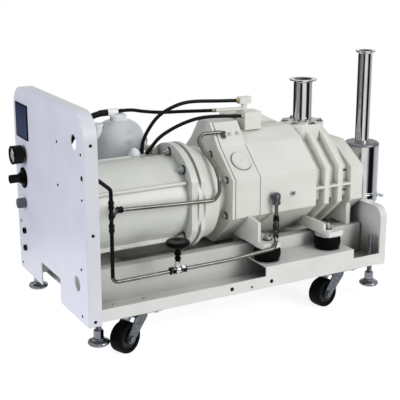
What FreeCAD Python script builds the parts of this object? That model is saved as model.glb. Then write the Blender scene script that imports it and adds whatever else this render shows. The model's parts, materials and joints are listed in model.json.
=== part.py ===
"""Dry screw vacuum pump on a wheeled sheet-metal base, in millimetres.

Sizes are first laid out from a datum at the outer face of the front panel (x = 0), the front long
side of the base (y = 0) and the floor (z = 0). save() then shifts every solid so that the origin is
the middle of the whole pump on the floor. +X runs from the front panel to the exhaust, +Z is up.
"""
import FreeCAD, Part
import math
import os

V = FreeCAD.Vector
X_AXIS = V(1, 0, 0)
Y_AXIS = V(0, 1, 0)
Z_AXIS = V(0, 0, 1)


def fitted(points, start, end):
    """Route with its ends moved to start and end; each middle point takes its share of both moves."""
    first, last = points[0], points[-1]
    moved = []
    for i, point in enumerate(points):
        t = i / (len(points) - 1)
        moved.append(tuple(c + (s - a) * (1 - t) + (e - b) * t
                           for c, a, b, s, e in zip(point, first, last, start, end)))
    return tuple(moved)


# Base frame
base_length = 853.0
base_width = 472.0
sheet = 3.0
rail_z = 100.0
lip_height = 30.0
rail_width = 100.0
rail_wall_height = 88.0
rail_flange = 25.0
rail_end_gap = 9.0
lip_hole_r = 4.5
lip_hole_x = (base_length / 2 - 49.5, base_length / 2 + 65.5)
rim_hole_r = 2.5
cross_member_x = (150.0, base_length / 2 + 3.5, base_length - 153.0)
cross_member_width = 60.0
cross_member_height = 28.0
pan_start = 36.0

# Front panel and end plate
panel_bottom = 92.0
panel_top = 585.0
panel_corner = 60.0
panel_flange = 33.0
notch_y = (base_width / 2 - 61.0, base_width / 2 + 72.0)
notch_top = 154.0
lifting_hole_r = 18.0
lifting_holes = ((60.0, 513.0), (64.0, 179.0))
flange_hole_z = (515.0, 310.0, 104.0)
flange_hole_x = 16.5
flange_hole_r = 3.4
panel_screw_r = 2.5
panel_screw_head_r = 4.5
panel_screw_head = 1.6
panel_screw_grip = 8.0
panel_screws_at = (
    (163.5, 494.5), (166.0, 390.0), (17.7, 493.5), (17.7, 390.0), (33.7, 223.0), (37.4, 108.0),
    (base_width - 18.2, 224.0), (base_width - 17.0, 108.0),
)
end_plate_bottom = 98.0
end_plate_top = 256.0
end_plate_corner = 30.0
end_plate_flange = 20.0

# Rotor axes and screws
axis_z = 313.0
pump_y = base_width / 2
rotor_pitch = 72.0
rotor_r = 46.0
rotor_root_r = 25.0
screw_lead = 40.0
land_width = 16.0
bore_clearance = 0.6
shaft_r = 15.0
gear_module = 2.0
gear_teeth = 36
gear_width = 20.0
gear_backlash = 0.5
bearing_r = 26.0
bearing_width = 14.0
drive_y = pump_y - rotor_pitch / 2
driven_y = pump_y + rotor_pitch / 2

# Pump casings and motor along x, laid out from the exhaust end of the base
casing_length = round(base_length * 0.3365)
cover_x = (base_length - 54.0, base_length - 15.0)
casing_x = (cover_x[0] - casing_length, cover_x[0])
case_x = (casing_x[0] - 72.0, casing_x[0])
plate_x = (case_x[0] - 11.0, case_x[0] - 3.0)
adapter_x = (plate_x[0] - 94.0, plate_x[0] - 40.0)
motor_flange_x = (adapter_x[0] - 26.0, adapter_x[0] - 8.5)
motor_x = (45.0, motor_flange_x[0])
motor_length = motor_x[1] - motor_x[0]
stator_x = (motor_x[0] + round(motor_length * 0.19), motor_x[1] - round(motor_length * 0.148))
coupling_x = tuple(adapter_x[0] + d for d in (5.0, 25.0, 33.0, 55.0))
motor_shaft_x = (motor_x[0] + 7.0, coupling_x[1] - 3.0)
rotor_x = (casing_x[0] + 12.0, casing_x[1] - 3.0)
gear_x = case_x[0] + 22.0
inlet_x = casing_x[1] - 62.0
inlet_base_r = 58.0

# Casing sections
spigot_depth = 4.0
case_wall = 12.0
casing_half_width = 146.0
side_z = (261.0, 361.0)
bottom_half_width = 51.0
casing_bottom = 176.0
shoulder_half_width = 71.0
shoulder_z = 430.0
top_half_width = 21.0
casing_top = 458.0
hump_half_width = 28.0
hump_top = 486.0
cover_shoulder_half_width = 56.0
cover_top = 408.0
cover_side_top = 352.0
groove_width = 28.5
groove_step = 42.5
groove_x = tuple((casing_x[1] - groove_width - i * groove_step, casing_x[1] - i * groove_step)
                 for i in (2, 1, 0))
groove_depth = 22.0
web_z = 307.0
web_thickness = 6.0
inspection_cover = (case_x[0] + 38.0, pump_y - 106.0, 27.0, 4.0)
side_plug = (casing_x[0] + 99.0, 305.0, 8.0, 3.0)
plate_grow = 2.0
seal_r = 22.0
gear_cavity_r = 44.0
casing_wall = 10.0
ramp_x = (casing_x[0], inlet_x - inlet_base_r - 75.0, inlet_x - inlet_base_r - 7.0)
ramp_y = (pump_y + 26.0, pump_y + 64.0)
ramp_top = 492.0
plate_bolt_circle_r = 94.0
plate_bolt_angles = (28.0, 90.0, 152.0, 212.0, 270.0, 328.0)
plate_bolt_grip = 16.0
bolt_hole_r = 4.2
bolt_size = 13.0
bolt_head = 7.0
small_bolt_size = 12.0
inlet_bolt_head = 6.5
castor_bolt_head = 5.5
inlet_bolt_grip = 14.0
cover_bolt_grip = 18.0
cover_bolt_rows = ((121.0, 285.0), (121.0, 340.0), (31.0, 205.0))
cover_bolts = tuple((pump_y + side * reach, z) for side in (-1, 1) for reach, z in cover_bolt_rows)
end_web_x = (casing_x[1], casing_x[1] + 13.0)
end_web_y = rail_width + 5.0

# Rubber mounts and the raised boxes that carry them
mount_x = (casing_x[0] - 4.0, casing_x[0] + 184.0)
mount_y = 48.0
mount_r = 35.0
mount_height = 40.0
mount_stud_r = 6.0
mount_nut = 17.0
stud_nut = 10.0
stud_clearance = 0.4
box_x = (mount_x[0] - 32.0, mount_x[1] + 52.0)
box_top = 155.0
pad_thickness = 13.0

# Feet of the casing, about each mount: reach to both sides, then the rib's offset, width and two heights
foot_front_y = 14.0
foot_back_y = pump_y - 76.0
rib_front_y = 40.0
foot_spread = ((33.0, 18.0), (20.0, 24.0))
foot_rib = ((-33.0, 8.0, 50.0, 57.0), (-20.0, 8.0, 16.0, 16.0))

# Castors
swivel_x = (137.0, base_length - 137.0)
swivel_y = 46.0
castor_trail = 38.0
castor_near_angles = (24.0, 12.0)
castor_far_angles = (158.0, 12.0)
wheel_r = 37.5
wheel_width = 34.0
hub_width = 37.0
axle_r = 5.0
axle_head = 4.0
axle_head_size = 15.0
castor_plate = (104.0, 84.0, 3.0)
castor_bolt_pitch = (80.0, 64.0)
castor_bolt_r = 4.0
castor_nut = 5.0
fork_thickness = 3.0
fork_half = 21.0
fork_crown = 4.0
kingpin_r = 6.0
hub_r = 14.0
seat_gap = 0.3
swivel_race_r = 24.0
swivel_race_height = 9.0
running_gap = 0.05

# Levelling feet
foot_x = (35.0, base_length - 27.0)
foot_y = 30.0
foot_rest_z = 34.0
foot_pad_r = 25.5
foot_pad_height = 8.0
foot_dome_height = 15.0
foot_hex_af = 21.0
foot_hex_height = 22.0
foot_stud_r = 7.0
foot_stud_top = 174.0
foot_nut_af = 22.0
foot_nut_height = 9.0
thread_gap = 0.08

# Inlet and exhaust
inlet_top = 574.0
inlet_r = 25.4
inlet_bore_r = 24.0
casing_port_r = 21.0
kf_lip = 3.0
kf_chamfer = 5.0
inlet_flange_r = 37.5
inlet_seat_z = 446.0
inlet_base_height = 12.0
seat_clearance = 2.0
inlet_bolt_circle_r = 47.0
inlet_bolts = 6
exhaust_x = base_length + 65.0
exhaust_y = drive_y
exhaust_top = 644.0
exhaust_r = 19.5
exhaust_bore_r = 18.0
exhaust_flange_r = 27.5
silencer_r = 49.0
silencer_wall = 2.0
silencer_z = (214.0, 388.0)
bracket_width = 24.0
bracket_z = (222.0, 246.0)
silencer_round = 8.0
discharge_x = casing_x[0] + 63.0
discharge_r = 21.0
discharge_bore_r = 18.5
discharge_run_z = 151.0
discharge_bend_r = 29.0
discharge_flange_r = 34.0
discharge_bends = ((casing_x[0] + 178.0, pump_y), (casing_x[1] + 1.0, exhaust_y))

# Motor and coupling housing
motor_r = 106.0
motor_wall = 8.0
rib_height = 5.0
rib_width = 7.0
rib_angles = (60.0, 150.0, 240.0, 330.0)
motor_flange_r = 135.0
motor_flange_flat = 120.0
end_shield_width = 9.0
stator_bore_r = 61.0
air_gap = 1.0
winding_r = 88.0
winding_length = 16.0
motor_shaft_r = 14.0
adapter_flange = 10.0
adapter_r = (124.0, 117.0)
neck_r = 80.0
adapter_bore_r = 66.0
register_r = 126.0
coupling_r = 34.0
flange_bolt_circle_r = 115.0
flange_bolt_angles = (48.0, 90.0, 132.0, 228.0, 270.0, 312.0)

# Terminal box, coolant tank and manifold
terminal_box = (motor_x[1] - 22.0, drive_y + 48.0, 14.0, 46.0)
terminal_box_top = 428.0
gland_r = 6.0
gland_length = 14.0
hose_block = (motor_x[1] - 57.0, drive_y + 50.0, 34.0, 24.0)
hose_block_top = 414.0
tank_x = motor_x[1] - 59.0
tank_r = 66.0
tank_y = drive_y + motor_r + 2.0 + tank_r
tank_wall = 4.0
tank_shoulder_z = 440.0
tank_dome_top = 484.0
dome_bulge = (0.78, 0.68)
dome_flat_r = 8.0
tank_neck_r = 16.0
tank_cap_top = tank_dome_top + 14.0
tank_shelf = (150.0, 130.0, 4.0)
tee_r = 9.5
tee_offset = 18.0
tee_z = tank_cap_top + 8.0
filler_route = (
    (tank_x - 20.0, tank_y - 10.0, tank_shoulder_z + 8.0), (tank_x - 62.0, tank_y - 4.0, tank_shoulder_z + 8.0),
    (tank_x - 62.0, tank_y - 4.0, tank_shoulder_z + 33.0),
)
filler_r = 14.0
filler_bend_r = 17.0
filler_cap = 7.0
sight_angle = -0.85
sight_z = 432.0
sight_r = 12.0
hose_r = 4.7
thick_hose_r = 8.0
manifold_block = (casing_x[0] + 22.0, casing_x[0] + 72.0, pump_y - 32.0, pump_y + 12.0)
manifold_block_top = casing_top + 46.0
manifold_tee_x = (casing_x[0] + 21.0, casing_x[0] + 55.0)
manifold_tee_z = manifold_block_top + 28.0
tee_half = 9.0
riser_r = 8.0

# Stainless tubes and fittings
tube_r = 4.6
tube_y = 8.0
riser_x = 65.0
tube_run_z = 188.0
tube_bend_r = 14.0
riser_unions_z = (318.0, 372.0)
branch_length = 20.0
valve_x = 232.0
valve_z = 189.6
valve_r = 8.5
valve_length = 40.0
bonnet_top = 212.0
fitting_r = 7.0
fitting_length = 20.0
filter_r = 10.5
filter_length = 32.0
knob_r = 29.0
knob_z = (236.0, 262.0)
knob_neck_r = 13.0
knob_bowl_r = 25.0
knob_bowl_z = (2.0, 11.0, 18.0)
knob_edge = 3.0
knob_stem_r = 6.0

# Panel instruments
screen_y = (base_width - 108.0, base_width - 22.0)
screen_z = (455.0, 544.0)
screen_bezel = 4.0
bezel_depth = 3.0
screen_depth = 30.0
gauge_at = (base_width - 69.0, 415.0)
gauge_r = 23.5
gauge_depth = 25.0
gauge_reach = 33.0
gauge_rim = 2.5
gauge_well = 6.0
needle_gap = 0.5
needle_thickness = 1.2
needle_hub_r = 3.5
needle_rest_angle = 315.0
regulator_at = (base_width - 58.0, 350.0)
regulator_base_r = 27.0
regulator_base = 14.0
regulator_knob_r = 11.0
regulator_reach = 38.0
bypass_at = (base_width - 60.0, 284.0)
bypass_r = 13.0
bypass_reach = 21.0
knob_flutes = 12
port_at = ((base_width - 49.0, 205.0), (base_width - 49.0, 158.0))
port_r = 8.0
port_reach = 6.0
port_inner_x = 16.0

# Routes of the hoses and tubes, from the panel datum
hose_a_route = fitted((
    (218.0, 374.0, 506.0), (190.0, 374.0, 505.0), (161.0, 374.0, 494.0), (135.0, 375.0, 470.0),
    (114.0, 382.0, 436.0), (99.0, 392.0, 396.0), (88.0, 403.0, 350.0), (81.0, 413.0, 304.0),
    (77.0, 419.0, 264.0), (70.0, 422.0, 236.0), (56.0, 423.0, 216.0), (37.0, 423.0, 206.0),
    (16.0, 423.0, 205.0),
), (tank_x - 32.0, tank_y, tee_z), (port_inner_x, *port_at[0]))
hose_b_route = fitted((
    (246.0, 374.0, 506.0), (277.0, 368.0, 510.0), (313.0, 354.0, 503.0), (353.0, 325.0, 501.5),
    (393.0, 299.0, 505.0), (433.0, 273.0, 507.0), (472.0, 250.0, 509.0),
), (tank_x - 4.0, tank_y, tee_z), (casing_x[0] - 40.0, pump_y + 14.0, manifold_block_top + 5.0))
hose_c_route = fitted((
    (263.0, 262.0, 414.0), (263.0, 262.0, 440.0), (276.0, 260.0, 469.0), (304.0, 256.0, 508.0),
    (342.0, 252.0, 528.0), (380.0, 248.0, 539.0), (421.0, 244.0, 539.0), (463.0, 240.0, 536.0),
    (500.0, 237.5, 534.0), (533.0, 236.0, 532.0),
), (motor_x[1] - 46.0, drive_y + 62.0, hose_block_top), (manifold_tee_x[0], pump_y, manifold_tee_z))
hose_d_route = fitted((
    (272.0, 254.0, 414.0), (284.0, 252.0, 430.0), (306.0, 249.0, 455.0), (338.0, 243.0, 474.0),
    (373.0, 236.0, 489.0), (411.0, 228.0, 499.0), (450.0, 220.0, 500.5), (492.0, 214.0, 498.0),
    (534.0, 212.0, 495.0),
), (motor_x[1] - 37.0, drive_y + 54.0, hose_block_top),
    (manifold_block[0], pump_y - 24.0, manifold_block_top - 9.0))
filter_at = (casing_x[0] + 39.0, pump_y - casing_half_width - 16.0)
lower_tube_route = (
    (5.0, 16.0, 440.0), (30.0, 12.0, 438.0), (riser_x, tube_y, 408.0), (riser_x, tube_y, tube_run_z),
    (mount_x[0] - 123.0, tube_y, 189.5), (mount_x[0] - 1.0, tube_y, 197.5), (mount_x[0] - 1.0, tube_y, 224.0),
    (*filter_at, 240.0), (*filter_at, 286.0),
)
upper_tube_route = (
    (riser_x + 8.0, 16.0, 346.0), (108.0, drive_y - 130.0, 338.0),
    (adapter_x[1] - 23.0, drive_y - 130.0, 325.0), (adapter_x[1] - 9.0, drive_y - 131.0, 344.0),
    (adapter_x[1] - 8.0, drive_y - 127.0, 376.0),
    (adapter_x[1] - 7.0, drive_y - 108.0, 400.0), (adapter_x[1] - 7.0, drive_y - 78.0, 417.0),
    (adapter_x[1] - 7.0, drive_y - 44.0, 432.0), (adapter_x[1] - 6.0, drive_y - 16.0, 451.0),
    (adapter_x[1] + 9.0, drive_y - 14.0, 466.0), (case_x[0] + 8.0, drive_y - 18.0, 466.0),
)

# Shift from the datum to the middle of the whole pump on the floor
front_reach = tube_y - knob_r
origin_shift = V(
    -(exhaust_x + silencer_r - regulator_reach) / 2, -(front_reach + base_width) / 2, 0,
)


def box(x0, x1, y0, y1, z0, z1):
    """Block between two corners."""
    return Part.makeBox(x1 - x0, y1 - y0, z1 - z0, V(x0, y0, z0))


def rod(start, axis, radius, length):
    """Solid cylinder from start along axis."""
    return Part.makeCylinder(radius, length, V(*start), axis)


def tube(start, axis, radius, bore, length):
    """Cylinder with a through bore."""
    return rod(start, axis, radius, length).cut(rod(start, axis, bore, length))


def prism(points, x0, x1):
    """Outline in the YZ plane, carried from x0 to x1."""
    wire = Part.makePolygon([V(x0, y, z) for y, z in points] + [V(x0, *points[0])])
    return Part.Face(wire).extrude(V(x1 - x0, 0, 0))


def hexagon(centre, axis, across_flats, length):
    """Hexagonal prism whose axis is X, Y or Z."""
    radius = across_flats / math.sqrt(3)
    u = Y_AXIS if abs(axis.x) > 0.5 else X_AXIS
    v = Y_AXIS if abs(axis.z) > 0.5 else Z_AXIS
    turns = [math.radians(60 * i) for i in range(6)]
    ring = [V(*centre) + u * (radius * math.cos(t)) + v * (radius * math.sin(t)) for t in turns]
    return Part.Face(Part.makePolygon(ring + ring[:1])).extrude(axis * length)


def merge(shapes):
    """Union of touching solids, without leftover seams."""
    return shapes[0].multiFuse(list(shapes[1:])).removeSplitter()


def group(shapes):
    """Separate solids in one node."""
    return Part.makeCompound(shapes)


def mirrored(shape):
    """The same piece on the other long side of the base."""
    return shape.mirror(V(0, base_width / 2, 0), Y_AXIS)


def both_sides(shapes):
    """Pieces of the front side with their mirror images."""
    return list(shapes) + [mirrored(s) for s in shapes]


def rounded_slab(y0, y1, z0, z1, corner, x0, x1):
    """Upright slab with round top corners."""
    body = box(x0, x1, y0, y1, z0, z1)
    edges = [
        e for e in body.Edges
        if abs(e.BoundBox.ZMin - z1) < 0.01 and abs(e.BoundBox.XLength - (x1 - x0)) < 0.01
    ]
    return body.makeFillet(corner, edges)


def route(points, bend=None):
    """Straight runs joined by tangent arcs, as large as the runs allow or of the given radius."""
    pts = [V(*p) for p in points]
    edges = []
    radii = []
    start = pts[0]
    for before, corner, after in zip(pts, pts[1:], pts[2:]):
        into = (corner - before).normalize()
        out = (after - corner).normalize()
        half_turn = into.getAngle(out) / 2
        run = min((corner - before).Length, (after - corner).Length)
        radius = 0.45 * run / math.tan(half_turn)
        if bend:
            radius = min(bend, radius)
        reach = radius * math.tan(half_turn)
        first = corner - into * reach
        last = corner + out * reach
        middle = corner + (out - into).normalize() * (radius / math.cos(half_turn) - radius)
        edges.append(Part.LineSegment(start, first).toShape())
        edges.append(Part.Arc(first, middle, last).toShape())
        radii.append(radius)
        start = last
    edges.append(Part.LineSegment(start, pts[-1]).toShape())
    return Part.Wire(edges), radii


def pipe(path, radius):
    """Round section carried along a path of runs and arcs."""
    first = path.Edges[0]
    start = first.valueAt(first.FirstParameter)
    circle = Part.makeCircle(radius, start, first.tangentAt(first.FirstParameter))
    return path.makePipeShell([Part.Wire(circle)], True, False)


def hose(points, radius, name):
    """Hose along its route; prints its bend radii and how its volume compares."""
    path, radii = route(points)
    solid = pipe(path, radius)
    ideal = math.pi * radius ** 2 * path.Length
    print(f"{name}: length {path.Length:.1f}, radii {min(radii):.0f} to {max(radii):.0f},"
          f" volume ratio {solid.Volume / ideal:.4f}")
    return solid


def front_panel():
    """Face sheet with a bottom notch and the instrument holes, and the edge strip wrapped round it."""
    body = rounded_slab(0, base_width, panel_bottom, panel_top, panel_corner, 0, panel_flange)
    inner = rounded_slab(sheet, base_width - sheet, panel_bottom - sheet, panel_top - sheet,
                         panel_corner - sheet, sheet, panel_flange + sheet)
    body = body.cut(inner)
    cuts = [box(-sheet, panel_flange, notch_y[0], notch_y[1], 0, notch_top)]
    cuts.append(box(-sheet, sheet * 2, screen_y[0] + screen_bezel, screen_y[1] - screen_bezel,
                    screen_z[0] + screen_bezel, screen_z[1] - screen_bezel))
    through = 4 * sheet
    for (y, z), r in (
        [(at, lifting_hole_r) for at in lifting_holes] + [(at, panel_screw_r) for at in panel_screws_at]
        + [(at, port_r) for at in port_at] + [(gauge_at, fitting_r), (regulator_at, regulator_knob_r),
                                              (bypass_at, fitting_r)]
    ):
        cuts.append(rod((-sheet, y, z), X_AXIS, r, through))
    for z in flange_hole_z:
        cuts.append(rod((flange_hole_x, -sheet, z), Y_AXIS, flange_hole_r, base_width + 2 * sheet))
    body = body.cut(cuts)
    front = box(0, sheet, 0, base_width, 0, panel_top)
    return group([body.common(front), body.cut(front)])


def end_plate():
    """Formed sheet at the exhaust end, open where the discharge pipe passes."""
    x1 = base_length
    body = rounded_slab(0, base_width, end_plate_bottom, end_plate_top, end_plate_corner,
                        x1 - end_plate_flange, x1)
    inner = rounded_slab(sheet, base_width - sheet, end_plate_bottom - sheet, end_plate_top - sheet,
                         end_plate_corner - sheet, x1 - end_plate_flange - sheet, x1 - sheet)
    hole = rod((x1 - 2 * sheet, exhaust_y, discharge_run_z), X_AXIS, discharge_r + sheet, 4 * sheet)
    pump = prism(cover_outline(sheet), x1 - end_plate_flange - 1, cover_x[1] + sheet)
    return body.cut([inner, hole, pump])


def base_rail():
    """Front side rail: lip, floor, upright wall and a top flange turned inwards."""
    x0 = sheet
    x1 = base_length - sheet
    wall_x1 = x1 - rail_end_gap
    lip = box(panel_flange, base_length - end_plate_flange, 0, sheet, rail_z, rail_z + lip_height)
    floor = box(x0, x1, sheet, rail_width, rail_z, rail_z + sheet)
    wall = box(x0, wall_x1, rail_width - sheet, rail_width, rail_z, rail_z + rail_wall_height)
    top = box(x0, wall_x1, rail_width, rail_width + rail_flange,
              rail_z + rail_wall_height - sheet, rail_z + rail_wall_height)
    rim_y = rail_z + lip_height / 2
    cuts = [rod((x, -sheet, rim_y), Y_AXIS, lip_hole_r, 3 * sheet) for x in lip_hole_x]
    cuts.append(rod((sum(lip_hole_x) / 2, -sheet, rim_y - 2 * rim_hole_r), Y_AXIS, rim_hole_r, 3 * sheet))
    for x in foot_x:
        cuts.append(rod((x, foot_y, rail_z - sheet), Z_AXIS, foot_stud_r + 2 * thread_gap, 3 * sheet))
    for x, y in castor_bolts():
        cuts.append(rod((x, y, rail_z - sheet), Z_AXIS, castor_bolt_r, 3 * sheet))
    return merge([lip, floor, wall, top]).cut(cuts)


def castor_bolts():
    """Places of the plate bolts of the two front castors."""
    dx, dy = (p / 2 for p in castor_bolt_pitch)
    return [(x + sx * dx, swivel_y + sy * dy) for x in swivel_x for sx in (-1, 1) for sy in (-1, 1)]


def cross_members():
    """Channels between the two side rails, open at the bottom, and the pan sheet under them."""
    pieces = [box(pan_start, base_length - sheet, rail_width - sheet, base_width - rail_width + sheet,
                  rail_z - sheet, rail_z)]
    y0, y1 = rail_width, base_width - rail_width
    z0, z1 = rail_z, rail_z + cross_member_height
    for x in cross_member_x:
        outer = box(x, x + cross_member_width, y0, y1, z0, z1)
        inner = box(x + sheet, x + cross_member_width - sheet, y0, y1, z0 - sheet, z1 - sheet)
        pieces.append(outer.cut(inner))
    return group(pieces)


def mount_box():
    """Raised shelf over the rail floor: open at the panel end, closed at the exhaust end."""
    x0, x1 = box_x
    lip_top = rail_z + lip_height
    floor_top = rail_z + sheet
    top = box(x0, x1, 0, rail_width - sheet, box_top - sheet, box_top)
    skirt = box(x0, x1, 0, sheet, lip_top, box_top)
    end = box(x1 - sheet, x1, sheet, rail_width - sheet, floor_top, box_top)
    holes = [rod((x, mount_y, box_top - 2 * sheet), Z_AXIS, mount_stud_r + stud_clearance, 3 * sheet)
             for x in mount_x]
    return merge([top, skirt, end]).cut(holes)


def rubber_mounts():
    """Round rubber blocks under the pump feet, each with a hole for its stud."""
    return both_sides([
        tube((x, mount_y, box_top), Z_AXIS, mount_r, mount_stud_r + stud_clearance, mount_height)
        for x in mount_x
    ])


def casing_outline(top, shoulder_half, shoulder, side_top, top_half, grow=0.0):
    """Half outline of a casing in the YZ plane, mirrored about the pump's middle."""
    half = [
        (bottom_half_width, casing_bottom - grow), (casing_half_width + grow, side_z[0]),
        (casing_half_width + grow, side_top), (shoulder_half, shoulder + grow), (top_half, top + grow),
    ]
    front = [(pump_y - y, z) for y, z in half]
    rear = [(pump_y + y, z) for y, z in reversed(half)]
    return front + rear


def main_outline(grow=0.0):
    return casing_outline(casing_top, shoulder_half_width, shoulder_z, side_z[1], top_half_width, grow)


def case_outline(grow=0.0):
    return casing_outline(hump_top, shoulder_half_width, shoulder_z, side_z[1], hump_half_width, grow)


def cover_outline(grow=0.0):
    return casing_outline(cover_top, cover_shoulder_half_width, cover_top, cover_side_top,
                          top_half_width, grow)


def shaft_holes(x0, x1, radius):
    """Two parallel bores on the rotor axes."""
    return [rod((x0, y, axis_z), X_AXIS, radius, x1 - x0) for y in (drive_y, driven_y)]


def inset(outline, depth):
    """Casing outline moved inwards by a depth, as a face at x = 0."""
    face = Part.Face(Part.makePolygon([V(0, y, z) for y, z in outline] + [V(0, *outline[0])]))
    return face.makeOffset2D(-depth)


def bolt_ring(radius, angles, centre_y=drive_y):
    """Points on a circle about the motor axis."""
    turns = [math.radians(a) for a in angles]
    return [(centre_y + radius * math.cos(t), axis_z + radius * math.sin(t)) for t in turns]


def front_bearing_plate():
    """Cast plate at the drive end, with a register that leaves a dark joint line."""
    plate = prism(case_outline(plate_grow), *plate_x)
    register = inset(case_outline(), spigot_depth).extrude(V(case_x[0] - plate_x[1], 0, 0))
    register.translate(V(plate_x[1], 0, 0))
    x0, x1 = plate_x[0], case_x[0]
    cuts = [rod((x0, drive_y, axis_z), X_AXIS, seal_r, x1 - x0)]
    for y, z in bolt_ring(plate_bolt_circle_r, plate_bolt_angles):
        cuts.append(rod((x0, y, z), X_AXIS, bolt_hole_r, x1 - x0))
    return merge([plate, register]).cut(cuts)


def chamfer_disc(x, y, radius, height):
    """Round cover seated on the upper front chamfer of the gear case."""
    y0, z0 = pump_y - casing_half_width, side_z[1]
    dy, dz = casing_half_width - shoulder_half_width, shoulder_z - side_z[1]
    z = z0 + (y - y0) * dz / dy
    length = math.hypot(dy, dz)
    normal = V(0, -dz / length, dy / length)
    return rod((x, y, z), normal, radius, height)


def gear_case():
    """Housing of the timing gears, with its round inspection cover."""
    x0, x1 = case_x
    body = prism(case_outline(), x0, x1)
    cavity = shaft_holes(x0, x1 - case_wall, gear_cavity_r)
    bearings = shaft_holes(x1 - case_wall, x1, bearing_r)
    holes = [rod((x0, y, z), X_AXIS, bolt_hole_r, plate_bolt_grip)
             for y, z in bolt_ring(plate_bolt_circle_r, plate_bolt_angles)]
    return group([body.cut(cavity + bearings + holes), chamfer_disc(*inspection_cover)])


def rotor_casing():
    """Cast body with the twin rotor bore, cooling fins, inlet boss and discharge port."""
    x0, x1 = casing_x
    body = prism(main_outline(), x0, x1)
    big = casing_half_width * 2
    for g0, g1 in groove_x:
        core = inset(main_outline(), groove_depth).extrude(V(g1 - g0, 0, 0))
        core.translate(V(g0, 0, 0))
        ring = box(g0, g1, pump_y - big, pump_y + big, casing_bottom - big, casing_top + big).cut(core)
        body = body.cut(ring)
    extras = []
    for side in (-1, 1):
        outer = pump_y + side * casing_half_width
        inner = outer - side * (groove_depth + sheet)
        extras.append(box(groove_x[0][0] - sheet, x1, min(outer, inner), max(outer, inner),
                          web_z - web_thickness / 2, web_z + web_thickness / 2))
    extras.append(rod((inlet_x, pump_y, shoulder_z - groove_depth), Z_AXIS, inlet_base_r,
                      inlet_seat_z - shoulder_z + groove_depth))
    ramp_x0, ramp_x1, ramp_x2 = ramp_x
    ramp = Part.Face(Part.makePolygon([
        V(ramp_x0, ramp_y[0], shoulder_z - groove_depth), V(ramp_x0, ramp_y[0], ramp_top),
        V(ramp_x1, ramp_y[0], ramp_top), V(ramp_x2, ramp_y[0], casing_top),
        V(ramp_x2, ramp_y[0], shoulder_z - groove_depth),
        V(ramp_x0, ramp_y[0], shoulder_z - groove_depth),
    ]))
    extras.append(ramp.extrude(V(0, ramp_y[1] - ramp_y[0], 0)))
    body = merge([body] + extras)
    cuts = shaft_holes(x0 + casing_wall, x1, rotor_r + bore_clearance)
    cuts += shaft_holes(x0, x0 + casing_wall, shaft_r + bore_clearance)
    cuts.append(rod((inlet_x, pump_y, axis_z), Z_AXIS, casing_port_r, casing_top - axis_z + 1))
    cuts.append(rod((inlet_x, pump_y, inlet_seat_z), Z_AXIS, inlet_base_r + seat_clearance,
                    casing_top - inlet_seat_z + 1))
    cuts.append(rod((discharge_x, pump_y, casing_bottom - 1), Z_AXIS, discharge_bore_r,
                    axis_z - casing_bottom))
    for y, z in inlet_bolt_places():
        cuts.append(rod((y, z, inlet_seat_z - inlet_bolt_grip), Z_AXIS, bolt_hole_r, inlet_bolt_grip + 1))
    for y, z in cover_bolts:
        cuts.append(rod((x1 - cover_bolt_grip, y, z), X_AXIS, bolt_hole_r, cover_bolt_grip))
    return body.cut(cuts)


def inlet_bolt_places():
    """Bolt places around the inlet, seen from above."""
    turns = [math.pi * (2 * i + 1) / inlet_bolts for i in range(inlet_bolts)]
    return [(inlet_x + inlet_bolt_circle_r * math.cos(t), pump_y + inlet_bolt_circle_r * math.sin(t))
            for t in turns]


def end_cover():
    """Cover of the free end, with blind pockets for the end bearings."""
    x0, x1 = cover_x
    foot_z = rail_z + rail_wall_height
    web = box(*end_web_x, end_web_y, pump_y, foot_z, side_z[0])
    body = merge([prism(cover_outline(), x0, x1), web, mirrored(web)])
    cuts = shaft_holes(x0, x0 + bearing_width + 1, bearing_r)
    cuts += [rod((x0, y, z), X_AXIS, bolt_hole_r, x1 - x0) for y, z in cover_bolts]
    return body.cut(cuts)


def bearing(x, y, shaft, width=bearing_width, outer=bearing_r):
    """Bearing or seal ring around a shaft, with its running clearance."""
    return tube((x, y, axis_z), X_AXIS, outer, shaft + running_gap, width)


def shaft_bearings():
    """Bearings of the motor and both rotors, and the drive shaft seal."""
    rings = [bearing(case_x[1] - case_wall, y, shaft_r, case_wall) for y in (drive_y, driven_y)]
    rings += [bearing(cover_x[0] + 1, y, shaft_r) for y in (drive_y, driven_y)]
    rings.append(bearing(plate_x[0], drive_y, shaft_r, case_x[0] - plate_x[0], seal_r))
    rings.append(bearing(motor_flange_x[0] + 1, drive_y, motor_shaft_r))
    rings.append(bearing(motor_x[0] + 1, drive_y, motor_shaft_r))
    return group(rings)


def gear(y, phase):
    """Spur gear with straight-flanked teeth and room between them."""
    pitch_r = gear_module * gear_teeth / 2
    tip_r = pitch_r + 0.8 * gear_module
    root_r = pitch_r - 1.3 * gear_module
    step = 2 * math.pi / gear_teeth
    quarter = math.pi * gear_module / 4 - gear_backlash / 2
    half_root = (quarter + 0.45 * gear_module) / pitch_r
    half_tip = (quarter - 0.35 * gear_module) / pitch_r
    tooth = ((-half_root, root_r), (-half_tip, tip_r), (half_tip, tip_r), (half_root, root_r))
    points = []
    for i in range(gear_teeth):
        for turn, radius in tooth:
            angle = phase + i * step + turn
            points.append((y + radius * math.cos(angle), axis_z + radius * math.sin(angle)))
    blank = prism(points, gear_x, gear_x + gear_width)
    return blank.cut(rod((gear_x, y, axis_z), X_AXIS, shaft_r, gear_width))


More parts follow.
